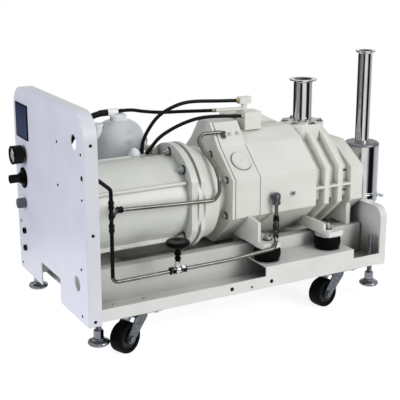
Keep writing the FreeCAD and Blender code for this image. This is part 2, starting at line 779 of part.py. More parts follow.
def screw_rotor(y, hand, shaft_start):
    """Rotor with one square-cut helical land; hand is 1 for right and -1 for left."""
    x0, x1 = rotor_x
    length = x1 - x0
    turns = int((length - land_width) / screw_lead)
    height = turns * screw_lead
    start = x0 + (length - height - land_width) / 2
    helix = Part.makeLongHelix(screw_lead, height, rotor_root_r, 0, hand < 0)
    half = land_width / 2
    depth = rotor_r - rotor_root_r
    profile = Part.makePolygon([
        V(rotor_root_r - 2, 0, -half), V(rotor_root_r + depth, 0, -half),
        V(rotor_root_r + depth, 0, half), V(rotor_root_r - 2, 0, half), V(rotor_root_r - 2, 0, -half),
    ])
    thread = Part.Wire(helix.Edges).makePipeShell([profile], True, True)
    thread.rotate(V(0, 0, 0), Z_AXIS, 0 if hand > 0 else 180)
    thread.rotate(V(0, 0, 0), Y_AXIS, 90)
    thread.translate(V(start + half, y, axis_z))
    core = rod((x0, y, axis_z), X_AXIS, rotor_root_r, length)
    shaft = rod((shaft_start, y, axis_z), X_AXIS, shaft_r, cover_x[0] + bearing_width - shaft_start)
    return core.fuse([thread, shaft])


def flange_disc(x0, x1):
    """Round motor flange with flats on both sides."""
    disc = rod((x0, drive_y, axis_z), X_AXIS, motor_flange_r, x1 - x0)
    big = 2 * motor_flange_r
    return disc.common(box(x0, x1, drive_y - motor_flange_flat, drive_y + motor_flange_flat,
                           axis_z - big, axis_z + big))


def motor_outside():
    """Round motor shell with its long ribs, as one solid."""
    x0, x1 = motor_x
    pieces = [rod((x0, drive_y, axis_z), X_AXIS, motor_r, x1 - x0)]
    for a in rib_angles:
        rib = box(x0, x1, drive_y - rib_width / 2, drive_y + rib_width / 2,
                  axis_z + motor_r - motor_wall / 2, axis_z + motor_r + rib_height)
        rib.rotate(V(0, drive_y, axis_z), X_AXIS, a - 90)
        pieces.append(rib)
    return merge(pieces)


def motor_housing():
    """Round motor shell with long ribs and the drive-end flange."""
    x0, x1 = motor_x
    body = merge([motor_outside(), flange_disc(*motor_flange_x)])
    cuts = [rod((x0, drive_y, axis_z), X_AXIS, motor_r - motor_wall, x1 - x0)]
    cuts.append(rod((x1, drive_y, axis_z), X_AXIS, bearing_r, motor_flange_x[1] - x1))
    for y, z in bolt_ring(flange_bolt_circle_r, flange_bolt_angles):
        cuts.append(rod((x1, y, z), X_AXIS, bolt_hole_r, motor_flange_x[1] - x1))
    return body.cut(cuts)


def motor_end_shield():
    """Rear motor cover with a bearing pocket."""
    x1 = motor_x[0]
    disc = rod((x1 - end_shield_width, drive_y, axis_z), X_AXIS, motor_r, end_shield_width)
    boss = tube((x1, drive_y, axis_z), X_AXIS, bearing_r + motor_wall, bearing_r, bearing_width + 1)
    return merge([disc, boss])


def motor_stator():
    """Stator stack with the winding heads at both ends."""
    x0, x1 = stator_x
    stack = tube((x0, drive_y, axis_z), X_AXIS, motor_r - motor_wall, stator_bore_r, x1 - x0)
    heads = [tube((x, drive_y, axis_z), X_AXIS, winding_r, stator_bore_r + motor_wall, winding_length)
             for x in (x0 - winding_length, x1)]
    return group([stack] + heads)


def motor_rotor():
    """Rotor core on the motor shaft."""
    x0, x1 = stator_x
    core = rod((x0, drive_y, axis_z), X_AXIS, stator_bore_r - air_gap, x1 - x0)
    shaft = rod((motor_shaft_x[0], drive_y, axis_z), X_AXIS, motor_shaft_r,
                motor_shaft_x[1] - motor_shaft_x[0])
    return merge([core, shaft])


def coupling_housing():
    """Lantern between motor and pump: flange, cone and neck around the coupling."""
    start = motor_flange_x[1]
    x0, x1 = adapter_x
    register = rod((start, drive_y, axis_z), X_AXIS, register_r, x0 - start)
    flange = flange_disc(x0, x0 + adapter_flange)
    cone = Part.makeCone(adapter_r[0], adapter_r[1], x1 - x0 - adapter_flange,
                         V(x0 + adapter_flange, drive_y, axis_z), X_AXIS)
    neck = rod((x1, drive_y, axis_z), X_AXIS, neck_r, plate_x[0] - x1)
    cuts = [rod((start, drive_y, axis_z), X_AXIS, adapter_bore_r, plate_x[0] - start)]
    for y, z in bolt_ring(flange_bolt_circle_r, flange_bolt_angles):
        cuts.append(rod((start, y, z), X_AXIS, bolt_hole_r, x0 + adapter_flange - start))
    return merge([register, flange, cone, neck]).cut(cuts)


def shaft_coupling():
    """Two coupling halves with the elastic spider between them."""
    a, b, c, d = coupling_x
    motor_half = tube((a, drive_y, axis_z), X_AXIS, coupling_r, motor_shaft_r, b - a)
    spider = rod((b, drive_y, axis_z), X_AXIS, coupling_r - 2, c - b)
    pump_half = tube((c, drive_y, axis_z), X_AXIS, coupling_r, shaft_r, d - c)
    return group([motor_half, spider, pump_half])


def motor_skin_cut(block):
    """Block trimmed to sit on the motor shell and its ribs."""
    return block.cut(motor_outside())


def terminal_box_shell():
    """Cable box on top of the motor, with a cable gland."""
    x, y, dx, dy = terminal_box
    shell = motor_skin_cut(box(x, x + dx, y, y + dy, axis_z + motor_r / 2, terminal_box_top))
    gland = rod((x + dx / 2, y + dy, terminal_box_top - gland_r * 2), Y_AXIS, gland_r, gland_length)
    return merge([shell, gland])


def clamp_flange(x, y, top, radius, pipe_r):
    """Clamp flange ring on the end of a pipe, with its sloped back."""
    low = top - kf_lip - kf_chamfer
    points = [(pipe_r, low), (pipe_r + kf_lip, low + 1), (radius, top - kf_lip), (radius, top), (pipe_r, top)]
    wire = Part.makePolygon([V(x + r, y, z) for r, z in points] + [V(x + pipe_r, y, low)])
    return Part.Face(wire).revolve(V(x, y, 0), Z_AXIS, 360)


def inlet_nozzle():
    """Inlet pipe with its clamp flange and the bolted foot ring."""
    seat = (inlet_x, pump_y, inlet_seat_z)
    stem = tube(seat, Z_AXIS, inlet_r, inlet_bore_r, inlet_top - inlet_seat_z)
    foot = tube(seat, Z_AXIS, inlet_base_r, inlet_r, inlet_base_height)
    holes = [rod((x, y, inlet_seat_z - 1), Z_AXIS, bolt_hole_r, inlet_base_height + 2)
             for x, y in inlet_bolt_places()]
    flange = clamp_flange(inlet_x, pump_y, inlet_top, inlet_flange_r, inlet_r)
    return group([stem, foot.cut(holes), flange])


def rounded_can(z0, z1, radius, corner):
    """Upright cylinder on the silencer's axis with rounded ends."""
    body = rod((exhaust_x, exhaust_y, z0), Z_AXIS, radius, z1 - z0)
    return body.makeFillet(corner, [e for e in body.Edges if isinstance(e.Curve, Part.Circle)])


def exhaust_silencer():
    """Upright silencer can, the exhaust pipe on top and a bracket to the end plate."""
    z0, z1 = silencer_z
    wall = silencer_wall
    centre = (exhaust_x, exhaust_y)
    can = rounded_can(z0, z1, silencer_r, silencer_round)
    can = can.cut([
        rounded_can(z0 + wall, z1 - wall, silencer_r - wall, silencer_round - wall),
        rod((*centre, z1 - 2 * wall), Z_AXIS, exhaust_bore_r, 3 * wall),
        rod((*centre, z0 - 1), Z_AXIS, discharge_bore_r, 3 * wall),
    ])
    stack = tube((*centre, z1), Z_AXIS, exhaust_r, exhaust_bore_r, exhaust_top - z1)
    flange = clamp_flange(*centre, exhaust_top, exhaust_flange_r, exhaust_r)
    y_half = bracket_width / 2
    bracket = box(base_length, exhaust_x, exhaust_y - y_half, exhaust_y + y_half, *bracket_z)
    bracket = bracket.cut(rod((*centre, z0), Z_AXIS, silencer_r, z1 - z0))
    return group([can, stack, flange, bracket])


def discharge_pipe():
    """Cast elbow under the casing and the pipe that runs out through the end plate."""
    half = discharge_flange_r
    x0, x1 = discharge_x - half, discharge_x + half
    z = discharge_run_z
    block = box(x0, x1, pump_y - half, pump_y + half, z - discharge_r - 1, casing_bottom)
    low = z - discharge_bore_r / 2
    down = rod((discharge_x, pump_y, low), Z_AXIS, discharge_bore_r, casing_bottom + 1 - low)
    passage = down.fuse(rod((discharge_x, pump_y, z), X_AXIS, discharge_bore_r, half + 1))
    run = [(x1, pump_y, z)] + [(x, y, z) for x, y in discharge_bends]
    run += [(exhaust_x, exhaust_y, z), (exhaust_x, exhaust_y, silencer_z[0])]
    outer, _ = route(run, discharge_bend_r)
    wall = pipe(outer, discharge_r).cut(pipe(outer, discharge_bore_r))
    return group([block.cut(passage), wall])


def coolant_tank():
    """Domed coolant tank on a shelf over the rear rail."""
    z0 = rail_z + rail_wall_height + tank_shelf[2]
    shoulder = tank_shoulder_z

    def dome(r, base, top):
        side = Part.LineSegment(V(r, 0, base), V(r, 0, shoulder)).toShape()
        bulge = V(r * dome_bulge[0], 0, shoulder + (top - shoulder) * dome_bulge[1])
        cap = Part.Arc(V(r, 0, shoulder), bulge, V(dome_flat_r, 0, top)).toShape()
        flat = Part.LineSegment(V(dome_flat_r, 0, top), V(0, 0, top)).toShape()
        axis = Part.LineSegment(V(0, 0, top), V(0, 0, base)).toShape()
        foot = Part.LineSegment(V(0, 0, base), V(r, 0, base)).toShape()
        body = Part.Face(Part.Wire([side, cap, flat, axis, foot])).revolve(V(0, 0, 0), Z_AXIS, 360)
        body.translate(V(tank_x, tank_y, 0))
        return body

    outer = dome(tank_r, z0, tank_dome_top)
    inner = dome(tank_r - tank_wall, z0 + tank_wall, tank_dome_top - tank_wall)
    neck = rod((tank_x, tank_y, tank_dome_top - tank_wall), Z_AXIS, tank_neck_r + tank_wall,
               tank_cap_top - tank_dome_top)
    sx, sy, sz = tank_shelf
    shelf = box(tank_x - sx / 2, tank_x + sx / 2, tank_y - sy / 2, tank_y + sy / 2,
                z0 - sz, z0)
    return group([merge([outer, neck]).cut(inner), shelf])


def tank_fittings(trim):
    """Tee on the tank cap, the filler elbow and the sight port, without the space of the hoses."""
    z = hose_a_route[0][2]
    x0, x1 = hose_a_route[0][0], hose_b_route[0][0]
    bar = rod((x0, tank_y, z), X_AXIS, tee_r, x1 - x0)
    foot_z = tank_cap_top - tank_wall
    foot = rod((tank_x - tee_offset, tank_y, foot_z), Z_AXIS, tee_r * 0.8, z - foot_z)
    filler = pipe(route(filler_route, filler_bend_r)[0], filler_r)
    cap_x, cap_y, cap_z = filler_route[-1]
    cap = rod((cap_x, cap_y, cap_z), Z_AXIS, filler_r * 1.12, filler_cap)
    aim = V(math.cos(sight_angle), math.sin(sight_angle), 0)
    sight_start = V(tank_x, tank_y, sight_z) + aim * (tank_r - 2 * tank_wall)
    sight = rod(tuple(sight_start), aim, sight_r, 4 * tank_wall)
    body = outer_tank()
    return group([merge([bar, foot]).cut([body] + trim), merge([filler, cap]).cut(body), sight.cut(body)])


def outer_tank():
    """Tank with its inside filled, used to trim what sits on its skin."""
    tank = coolant_tank().Solids[0]
    return Part.Solid(tank.Shells[0]) if len(tank.Shells) > 1 else tank


def manifold(trim):
    """Hose blocks: the distribution block and tee on the casing and the small block on the motor."""
    bx0, bx1, by0, by1 = manifold_block
    block = box(bx0, bx1, by0, by1, casing_top, manifold_block_top)
    tx0, tx1 = manifold_tee_x
    ty, tz = hose_c_route[-1][1:]
    tee = box(tx0, tx1, ty - tee_half, ty + tee_half, tz - tee_half, tz + tee_half)
    middle = (tx0 + tx1) / 2
    riser = rod((middle, ty, manifold_block_top), Z_AXIS, riser_r, tz - tee_half - manifold_block_top)
    start = V(*hose_b_route[-1])
    stop = V(middle, ty, start.z)
    branch = rod(tuple(start), (stop - start).normalize(), hose_r * 1.1, (stop - start).Length)
    x, y, dx, dy = hose_block
    small = motor_skin_cut(box(x, x + dx, y, y + dy, axis_z + motor_r / 2, hose_block_top))
    return group([merge([block, tee, riser, branch]).cut(trim), small.cut(trim)])


def sleeve(start, stop, radius, path):
    """Collar on a tube, bored to the tube's own path."""
    a, b = V(*start), V(*stop)
    return rod(start, (b - a).normalize(), radius, (b - a).Length).cut(path)


def tube_fittings(lower, upper):
    """Unions, tee, filter and ends of the stainless tubes."""
    x, y = riser_x, tube_y
    pieces = [sleeve((x, y, z - fitting_length / 2), (x, y, z + fitting_length / 2), fitting_r, lower)
              for z in riser_unions_z]
    t0, t1 = V(*upper_tube_route[0]), V(*upper_tube_route[1])
    aim = (t1 - t0).normalize()
    tee_run = rod((x, y, t0.z - fitting_length / 2), Z_AXIS, fitting_r, fitting_length)
    branch_start = V(x, y, t0.z)
    branch = rod(tuple(branch_start), aim, fitting_r * 0.85, branch_length)
    pieces.append(merge([tee_run, branch]).cut([lower, upper]))
    fx, fy, fz = lower_tube_route[-1]
    body = rod((fx, fy, fz), Z_AXIS, filter_r, filter_length)
    stub_z = fz + filter_length * 0.6
    stub = rod((fx, fy, stub_z), Y_AXIS, fitting_r * 0.75, pump_y - casing_half_width - fy)
    pieces.append(merge([body, stub]))
    pieces.append(sleeve((fx, fy, fz - 2.2 * fitting_length), (fx, fy, fz - 1.1 * fitting_length),
                         fitting_r, lower))
    ux, uy, uz = upper_tube_route[-1]
    post = rod((ux + fitting_r, uy, uz - fitting_length), Z_AXIS, fitting_r, fitting_length * 1.3)
    pieces.append(post.cut([gear_case().Solids[0], upper]))
    px, py, pz = lower_tube_route[0]
    aim = (V(*lower_tube_route[1]) - V(px, py, pz)).normalize()
    pieces.append(rod((px, py, pz), X_AXIS, fitting_r, fitting_length / 2).cut(lower))
    return group(pieces)


def flow_valve_body(lower):
    """Valve body on the lower tube with its bonnet."""
    x0 = valve_x - valve_length / 2
    body = rod((x0, tube_y, valve_z), X_AXIS, valve_r, valve_length)
    bonnet = rod((valve_x, tube_y, valve_z), Z_AXIS, knob_stem_r + 2, bonnet_top - valve_z)
    return merge([body, bonnet]).cut(lower)


def flow_valve_handle():
    """Bell-shaped hand knob on its stem."""
    z0 = bonnet_top + seat_gap
    k0, k1 = knob_z
    neck, bowl, rim = knob_bowl_z
    points = [(0, z0), (knob_stem_r, z0), (knob_stem_r, k0), (knob_neck_r, k0 + neck),
              (knob_bowl_r, k0 + bowl), (knob_r, k0 + rim), (knob_r, k1 - knob_edge),
              (knob_r - knob_edge, k1), (0, k1)]
    wire = Part.makePolygon([V(valve_x + r, tube_y, z) for r, z in points] + [V(valve_x, tube_y, z0)])
    return Part.Face(wire).revolve(V(valve_x, tube_y, 0), Z_AXIS, 360)


def pump_foot(x, spread, rib, trim):
    """Foot of the casing: a pad over the rubber mount with an upright rib."""
    z0 = box_top + mount_height
    z1 = z0 + pad_thickness
    pad = box(x - spread[0], x + spread[1], foot_front_y, foot_back_y, z0, z1)
    dx, width, front, back = rib
    outline = [(rib_front_y, z1), (rib_front_y, z1 + front), (pump_y - casing_half_width + sheet, z1 + back),
               (foot_back_y, z1 + back), (foot_back_y, z1)]
    foot = merge([pad, prism(outline, x + dx, x + dx + width)]).cut(trim)
    hole = rod((x, mount_y, z0 - 1), Z_AXIS, mount_stud_r + stud_clearance, pad_thickness + 2)
    return foot.cut(hole)


def pump_feet():
    """Four feet of the casing on their rubber mounts."""
    trim = [prism(case_outline(), *case_x), prism(main_outline(), *casing_x)]
    front = [pump_foot(x, spread, rib, trim) for x, spread, rib in zip(mount_x, foot_spread, foot_rib)]
    return group(both_sides(front))


def hex_bolt(x, y, z, axis, grip, size=bolt_size, head=bolt_head, shank=bolt_hole_r - 0.2):
    """Hexagon bolt: head outside the face, shank into it along -axis."""
    start = V(x, y, z)
    return merge([hexagon((x, y, z), axis, size, head), rod(tuple(start), axis * -1, shank, grip)])


def machine_bolts():
    """Bolts, studs and nuts that hold the pump together and to its base."""
    pieces = []
    back = X_AXIS * -1
    grip = adapter_x[0] + adapter_flange - motor_flange_x[0] - 1
    for y, z in bolt_ring(flange_bolt_circle_r, flange_bolt_angles):
        pieces.append(hex_bolt(motor_flange_x[0], y, z, back, grip))
    for y, z in bolt_ring(plate_bolt_circle_r, plate_bolt_angles):
        pieces.append(hex_bolt(plate_x[0], y, z, back, case_x[0] - plate_x[0] + plate_bolt_grip - 1))
    for y, z in cover_bolts:
        pieces.append(hex_bolt(cover_x[1], y, z, X_AXIS, cover_x[1] - cover_x[0] + cover_bolt_grip - 1))
    for x, y in inlet_bolt_places():
        pieces.append(hex_bolt(x, y, inlet_seat_z + inlet_base_height, Z_AXIS,
                               inlet_base_height + inlet_bolt_grip - 1, small_bolt_size, inlet_bolt_head))
    pad_top = box_top + mount_height + pad_thickness
    studs = []
    for x in mount_x:
        z = box_top - sheet - stud_nut
        shank = rod((x, mount_y, z), Z_AXIS, mount_stud_r, pad_top - z + 1.6 * stud_nut)
        low = hexagon((x, mount_y, z), Z_AXIS, mount_nut, stud_nut)
        high = hexagon((x, mount_y, pad_top), Z_AXIS, mount_nut, stud_nut)
        studs.append(merge([shank, low, high]))
    for x, y in castor_bolts():
        top = rail_z + sheet
        low = rail_z - castor_plate[2] - castor_nut
        bolt = hex_bolt(x, y, top, Z_AXIS, top - low + 1.5, small_bolt_size, castor_bolt_head,
                        castor_bolt_r - stud_clearance)
        studs.append(merge([bolt, hexagon((x, y, low), Z_AXIS, small_bolt_size, castor_nut)]))
    for x in foot_x:
        for z in (rail_z + sheet, rail_z - foot_nut_height):
            nut_body = hexagon((x, foot_y, z), Z_AXIS, foot_nut_af, foot_nut_height)
            thread = rod((x, foot_y, z - 1), Z_AXIS, foot_stud_r + thread_gap, foot_nut_height + 2)
            studs.append(nut_body.cut(thread))
    pieces += both_sides(studs)
    x, z, radius, height = side_plug
    pieces.append(hexagon((x, pump_y - casing_half_width - height, z), Y_AXIS, 2 * radius, height))
    for y, z in panel_screws_at:
        head = rod((-panel_screw_head, y, z), X_AXIS, panel_screw_head_r, panel_screw_head)
        pieces.append(merge([head, rod((0, y, z), X_AXIS, panel_screw_r, panel_screw_grip)]))
    return group(pieces)


def castor_plate_body(x):
    """Fixed top plate of a castor with the swivel race under it."""
    dx, dy, dz = castor_plate
    plate = box(x - dx / 2, x + dx / 2, swivel_y - dy / 2, swivel_y + dy / 2, rail_z - dz, rail_z)
    race = rod((x, swivel_y, rail_z - dz - swivel_race_height), Z_AXIS, swivel_race_r, swivel_race_height)
    low = rail_z - dz - swivel_race_height
    cuts = [rod((x, swivel_y, low - 1), Z_AXIS, kingpin_r + running_gap, swivel_race_height + 1)]
    sx, sy = (p / 2 for p in castor_bolt_pitch)
    for ax in (-sx, sx):
        for ay in (-sy, sy):
            cuts.append(rod((x + ax, swivel_y + ay, rail_z - dz - 1), Z_AXIS, castor_bolt_r, dz + 2))
    return merge([plate, race]).cut(cuts)


def castor_fork(x):
    """Swivelling fork with its king pin and the wheel's axle bolt."""
    crown_top = rail_z - castor_plate[2] - swivel_race_height - seat_gap
    axle_x = x - castor_trail
    half = hub_width / 2 + seat_gap
    outer = half + fork_thickness
    crown = box(x - fork_half, x + fork_half, swivel_y - outer, swivel_y + outer,
                crown_top - fork_crown, crown_top)
    outline = [(x - fork_half, crown_top), (x + fork_half, crown_top), (x + fork_half - 3, crown_top - 12),
               (axle_x + 12, wheel_r - 4), (axle_x + 6, wheel_r - 11), (axle_x - 6, wheel_r - 11),
               (axle_x - 12, wheel_r - 3), (axle_x - 10, wheel_r + 12)]
    cheeks = []
    for y in (swivel_y - outer, swivel_y + half):
        ring = [V(px, y, pz) for px, pz in outline]
        cheeks.append(Part.Face(Part.makePolygon(ring + ring[:1])).extrude(V(0, fork_thickness, 0)))
    pin = rod((x, swivel_y, crown_top - fork_crown), Z_AXIS, kingpin_r,
              fork_crown + swivel_race_height - seat_gap)
    head_y = (swivel_y - outer - axle_head, swivel_y + outer)
    axle = rod((axle_x, head_y[0], wheel_r), Y_AXIS, axle_r, 2 * (outer + axle_head))
    heads = [hexagon((axle_x, y, wheel_r), Y_AXIS, axle_head_size, axle_head) for y in head_y]
    return merge([crown, pin, axle] + cheeks + heads)


def castor_wheel(x):
    """Wheel with a rounded tread and a wider hub."""
    half, hub = wheel_width / 2, hub_width / 2
    axle_x = x - castor_trail
    r = wheel_r
    near = [(axle_r + running_gap, hub), (hub_r, hub), (hub_r, half - 4), (r - 9, half - 4),
            (r - 8, half), (r - 4, half), (r, half - 6)]
    points = [(radius, -y) for radius, y in near] + near[::-1]
    ring = [V(axle_x + radius, swivel_y + y, wheel_r) for radius, y in points]
    return Part.Face(Part.makePolygon(ring + ring[:1])).revolve(V(axle_x, swivel_y, wheel_r), Y_AXIS, 360)


def levelling_foot(x):
    """Screw foot: pad, dome, adjusting hexagon and threaded stud."""
    z0 = foot_rest_z
    z1 = z0 + foot_pad_height
    z2 = z1 + foot_dome_height
    r = foot_pad_r
    points = [(0, z0), (r - 1, z0), (r, z0 + 1), (r, z1 - 2), (r - 3, z1), (foot_hex_af * 0.62, z2), (0, z2)]
    wire = Part.makePolygon([V(x + r, foot_y, z) for r, z in points] + [V(x, foot_y, z0)])
    pad = Part.Face(wire).revolve(V(x, foot_y, 0), Z_AXIS, 360)
    grip = hexagon((x, foot_y, z2), Z_AXIS, foot_hex_af, foot_hex_height)
    stud = rod((x, foot_y, z2), Z_AXIS, foot_stud_r, foot_stud_top - z2)
    return merge([pad, grip, stud])


def display_unit():
    """Control display: bezel, housing behind the panel and the screen plate."""
    y0, y1 = screen_y
    z0, z1 = screen_z
    b = screen_bezel
    bezel = box(-bezel_depth, 0, y0, y1, z0, z1)
    housing = box(0, screen_depth, y0 + b + 0.2, y1 - b - 0.2, z0 + b + 0.2, z1 - b - 0.2)
    window = box(-bezel_depth, -bezel_depth / 2, y0 + b, y1 - b, z0 + b, z1 - b)
    screen = box(-bezel_depth * 0.8, -bezel_depth / 2, y0 + b, y1 - b, z0 + b, z1 - b)
    return group([merge([bezel, housing]).cut(window), screen])


def gauge_body():
    """Round pressure gauge: case with an open face, dial and a stem through the panel."""
    y, z = gauge_at
    case = rod((-gauge_reach, y, z), X_AXIS, gauge_r, gauge_depth)
    well = rod((-gauge_reach - 1, y, z), X_AXIS, gauge_r - gauge_rim, gauge_well + 1)
    stem = rod((-gauge_reach + gauge_depth, y, z), X_AXIS, fitting_r, gauge_reach - gauge_depth + 3 * sheet)
    return merge([case, stem]).cut(well)


def gauge_needle():
    """Needle of the gauge with its hub, just in front of the dial."""
    y, z = gauge_at
    x = -gauge_reach + gauge_well - needle_gap - needle_thickness
    hub = rod((x, y, z), X_AXIS, needle_hub_r, needle_thickness)
    reach = gauge_r - gauge_rim - 3
    turn = math.radians(needle_rest_angle)
    tip = (y + reach * math.cos(turn), z + reach * math.sin(turn))
    side = (math.sin(turn) * needle_hub_r * 0.5, -math.cos(turn) * needle_hub_r * 0.5)
    blade = prism([(y + side[0], z + side[1]), tip, (y - side[0], z - side[1])], x, x + needle_thickness)
    return merge([hub, blade])


def regulator_body():
    """Flared base of the pressure regulator, with its thread through the panel."""
    y, z = regulator_at
    r = regulator_base_r
    flare = Part.makeCone(regulator_knob_r + 1.5, r, regulator_base - 3, V(-regulator_base, y, z), X_AXIS)
    rim = rod((-3, y, z), X_AXIS, r, 3)
    thread = rod((0, y, z), X_AXIS, regulator_knob_r, 4 * sheet)
    return merge([flare, rim, thread])


def regulator_knob():
    """Turning knob of the regulator with a fluted grip."""
    y, z = regulator_at
    length = regulator_reach - regulator_base - seat_gap
    knob = rod((-regulator_reach, y, z), X_AXIS, regulator_knob_r, length)
    flutes = []
    for i in range(knob_flutes):
        t = 2 * math.pi * i / knob_flutes
        flutes.append(rod((-regulator_reach - 1, y + (regulator_knob_r + 1) * math.cos(t),
                           z + (regulator_knob_r + 1) * math.sin(t)), X_AXIS, 1.6, length - 3))
    return knob.cut(flutes)


def bypass_knob():
    """Small grey valve knob on the panel, with its spindle in the panel's hole."""
    y, z = bypass_at
    knob = rod((-bypass_reach, y, z), X_AXIS, bypass_r, bypass_reach - seat_gap)
    spindle = rod((-seat_gap, y, z), X_AXIS, fitting_r - running_gap, 2 * sheet)
    grooves = []
    for i in range(knob_flutes):
        t = 2 * math.pi * i / knob_flutes
        grooves.append(rod((-bypass_reach - 1, y + (bypass_r + 1) * math.cos(t),
                            z + (bypass_r + 1) * math.sin(t)), X_AXIS, 1.8, bypass_reach * 0.6))
    return merge([knob.cut(grooves), spindle])


def panel_ports(trim):
    """Coolant connections through the panel: a socket outside, a hose tail inside."""
    pieces = []
    for y, z in port_at:
        barrel = rod((-port_reach, y, z), X_AXIS, port_r, port_reach + port_inner_x)
        collar = rod((sheet, y, z), X_AXIS, port_r + 4, port_inner_x - sheet - 4)
        socket = rod((-port_reach - 1, y, z), X_AXIS, port_r - 3, port_reach + sheet)
        pieces.append(merge([barrel, collar]).cut([socket] + trim))
    return group(pieces)


def save(name, shape):
    """Shift a piece into the part's own frame and write it."""
    piece = shape.copy()
    piece.translate(origin_shift)
    piece.exportStep(f"parts/{name}.step")


def main():
    os.makedirs("parts", exist_ok=True)
    lower = pipe(route(lower_tube_route, tube_bend_r)[0], tube_r)
    upper = pipe(route(upper_tube_route, tube_bend_r)[0], tube_r)
    front_rail = base_rail()
    hoses = {
        "hose_return": hose(hose_a_route, thick_hose_r, "hose_return"),
        "hose_supply": hose(hose_b_route, hose_r, "hose_supply"),
        "hose_upper": hose(hose_c_route, hose_r, "hose_upper"),
        "hose_lower": hose(hose_d_route, hose_r, "hose_lower"),
    }
    trim = list(hoses.values())
    nodes = {
        "base_rail_front": front_rail,
        "base_rail_rear": mirrored(front_rail),
        "cross_members": cross_members(),
        "mount_boxes": group(both_sides([mount_box()])),
        "end_plate": end_plate(),
        "front_panel": front_panel(),
        "caster_plates": group(both_sides([castor_plate_body(x) for x in swivel_x])),
        "fasteners": machine_bolts(),
        "rubber_mounts": group(rubber_mounts()),
        "pump_feet": pump_feet(),
        "motor_housing": motor_housing(),
        "motor_end_shield": motor_end_shield(),
        "motor_stator": motor_stator(),
        "terminal_box": terminal_box_shell(),
        "coupling_housing": coupling_housing(),
        "front_bearing_plate": front_bearing_plate(),
        "gear_case": gear_case(),
        "rotor_casing": rotor_casing(),
        "end_cover": end_cover(),
        "shaft_bearings": shaft_bearings(),
        "inlet_nozzle": inlet_nozzle(),
        "exhaust_silencer": exhaust_silencer(),
        "discharge_pipe": discharge_pipe(),
        "coolant_tank": coolant_tank(),
        "tank_fittings": tank_fittings(trim),
        **hoses,
        "manifold": manifold(trim),
        "lower_tube": lower,
        "upper_tube": upper,
        "tube_fittings": tube_fittings(lower, upper),
        "flow_valve_body": flow_valve_body(lower),
        "display_unit": display_unit(),
        "gauge_body": gauge_body(),
        "regulator_body": regulator_body(),
        "panel_ports": panel_ports(trim),
        "flow_valve_handle": flow_valve_handle(),
        "gauge_needle": gauge_needle(),
        "regulator_knob": regulator_knob(),
        "bypass_knob": bypass_knob(),
        "drive_rotor": screw_rotor(drive_y, 1, coupling_x[2]),
        "driven_rotor": screw_rotor(driven_y, -1, gear_x - 8),
        "drive_gear": gear(drive_y, 0.0),
        "driven_gear": gear(driven_y, math.pi / gear_teeth),
        "motor_rotor": motor_rotor(),
        "shaft_coupling": shaft_coupling(),
    }
    ends = ("front", "rear")
    sides = (("near", lambda s: s, castor_near_angles), ("far", mirrored, castor_far_angles))
    for side, turned, angles in sides:
        for end, x, fx, angle in zip(ends, swivel_x, foot_x, angles):
            fork, wheel = castor_fork(x), castor_wheel(x)
            for piece in (fork, wheel):
                piece.rotate(V(x, swivel_y, 0), Z_AXIS, angle)
            nodes[f"caster_fork_{end}_{side}"] = turned(fork)
            nodes[f"caster_wheel_{end}_{side}"] = turned(wheel)
            nodes[f"levelling_foot_{end}_{side}"] = turned(levelling_foot(fx))
    for name, shape in nodes.items():
        save(name, shape)
        state = "valid" if shape.isValid() else "NOT VALID"
        print(name, len(shape.Solids), state, round(shape.Volume / 1000, 1))


main()
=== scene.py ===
"""Looks of a dry screw vacuum pump on its wheeled base: finishes, hoses, fittings and small parts.

Shapes are worked out in millimetres from the panel datum: the outer face of the front panel, the
front side of the base and the floor. piece() moves them into the frame of the model, in metres.
"""
import json
import math

import bmesh
import bpy
import numpy as np
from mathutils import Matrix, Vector

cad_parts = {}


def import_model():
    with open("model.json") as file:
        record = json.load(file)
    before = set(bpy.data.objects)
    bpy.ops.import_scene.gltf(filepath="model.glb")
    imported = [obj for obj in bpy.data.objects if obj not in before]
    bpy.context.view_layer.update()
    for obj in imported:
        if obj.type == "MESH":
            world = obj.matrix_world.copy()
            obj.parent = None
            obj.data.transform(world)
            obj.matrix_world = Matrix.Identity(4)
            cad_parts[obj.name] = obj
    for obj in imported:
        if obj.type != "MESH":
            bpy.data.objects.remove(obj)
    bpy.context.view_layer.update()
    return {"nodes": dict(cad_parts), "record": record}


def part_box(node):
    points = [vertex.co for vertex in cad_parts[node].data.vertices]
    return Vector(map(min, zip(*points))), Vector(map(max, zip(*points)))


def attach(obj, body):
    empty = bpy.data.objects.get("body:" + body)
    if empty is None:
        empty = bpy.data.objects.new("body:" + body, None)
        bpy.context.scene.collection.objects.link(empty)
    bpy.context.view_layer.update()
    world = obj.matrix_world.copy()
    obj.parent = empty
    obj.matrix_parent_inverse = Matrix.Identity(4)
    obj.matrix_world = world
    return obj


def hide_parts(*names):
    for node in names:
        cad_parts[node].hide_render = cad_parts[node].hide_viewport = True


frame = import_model()

MM = 0.001
TURN = 2 * math.pi
BACK, FRONT, NEAR, UP, DOWN = (-1, 0, 0), (1, 0, 0), (0, -1, 0), (0, 0, 1), (0, 0, -1)
CORNERS = ("front_near", "front_far", "rear_near", "rear_far")
datum = np.array((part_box("front_panel")[0].x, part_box("front_panel")[0].y, 0.0))


def place(points):
    """Points in metres from the panel datum, moved into the frame of the model."""
    return np.asarray(points, float) + datum


# Mesh work

def aimed(part, direction, centre=(0, 0, 0)):
    """Skin about +Z turned so that +Z points along a direction, then moved to a centre."""
    points, faces = part
    w = np.asarray(direction, float)
    w = w / np.linalg.norm(w)
    side = np.array((0.0, 0.0, 1.0)) if abs(w[2]) < 0.9 else np.array((1.0, 0.0, 0.0))
    u = np.cross(side, w)
    u = u / np.linalg.norm(u)
    return points @ np.array((u, np.cross(w, u), w)) + np.asarray(centre, float), faces


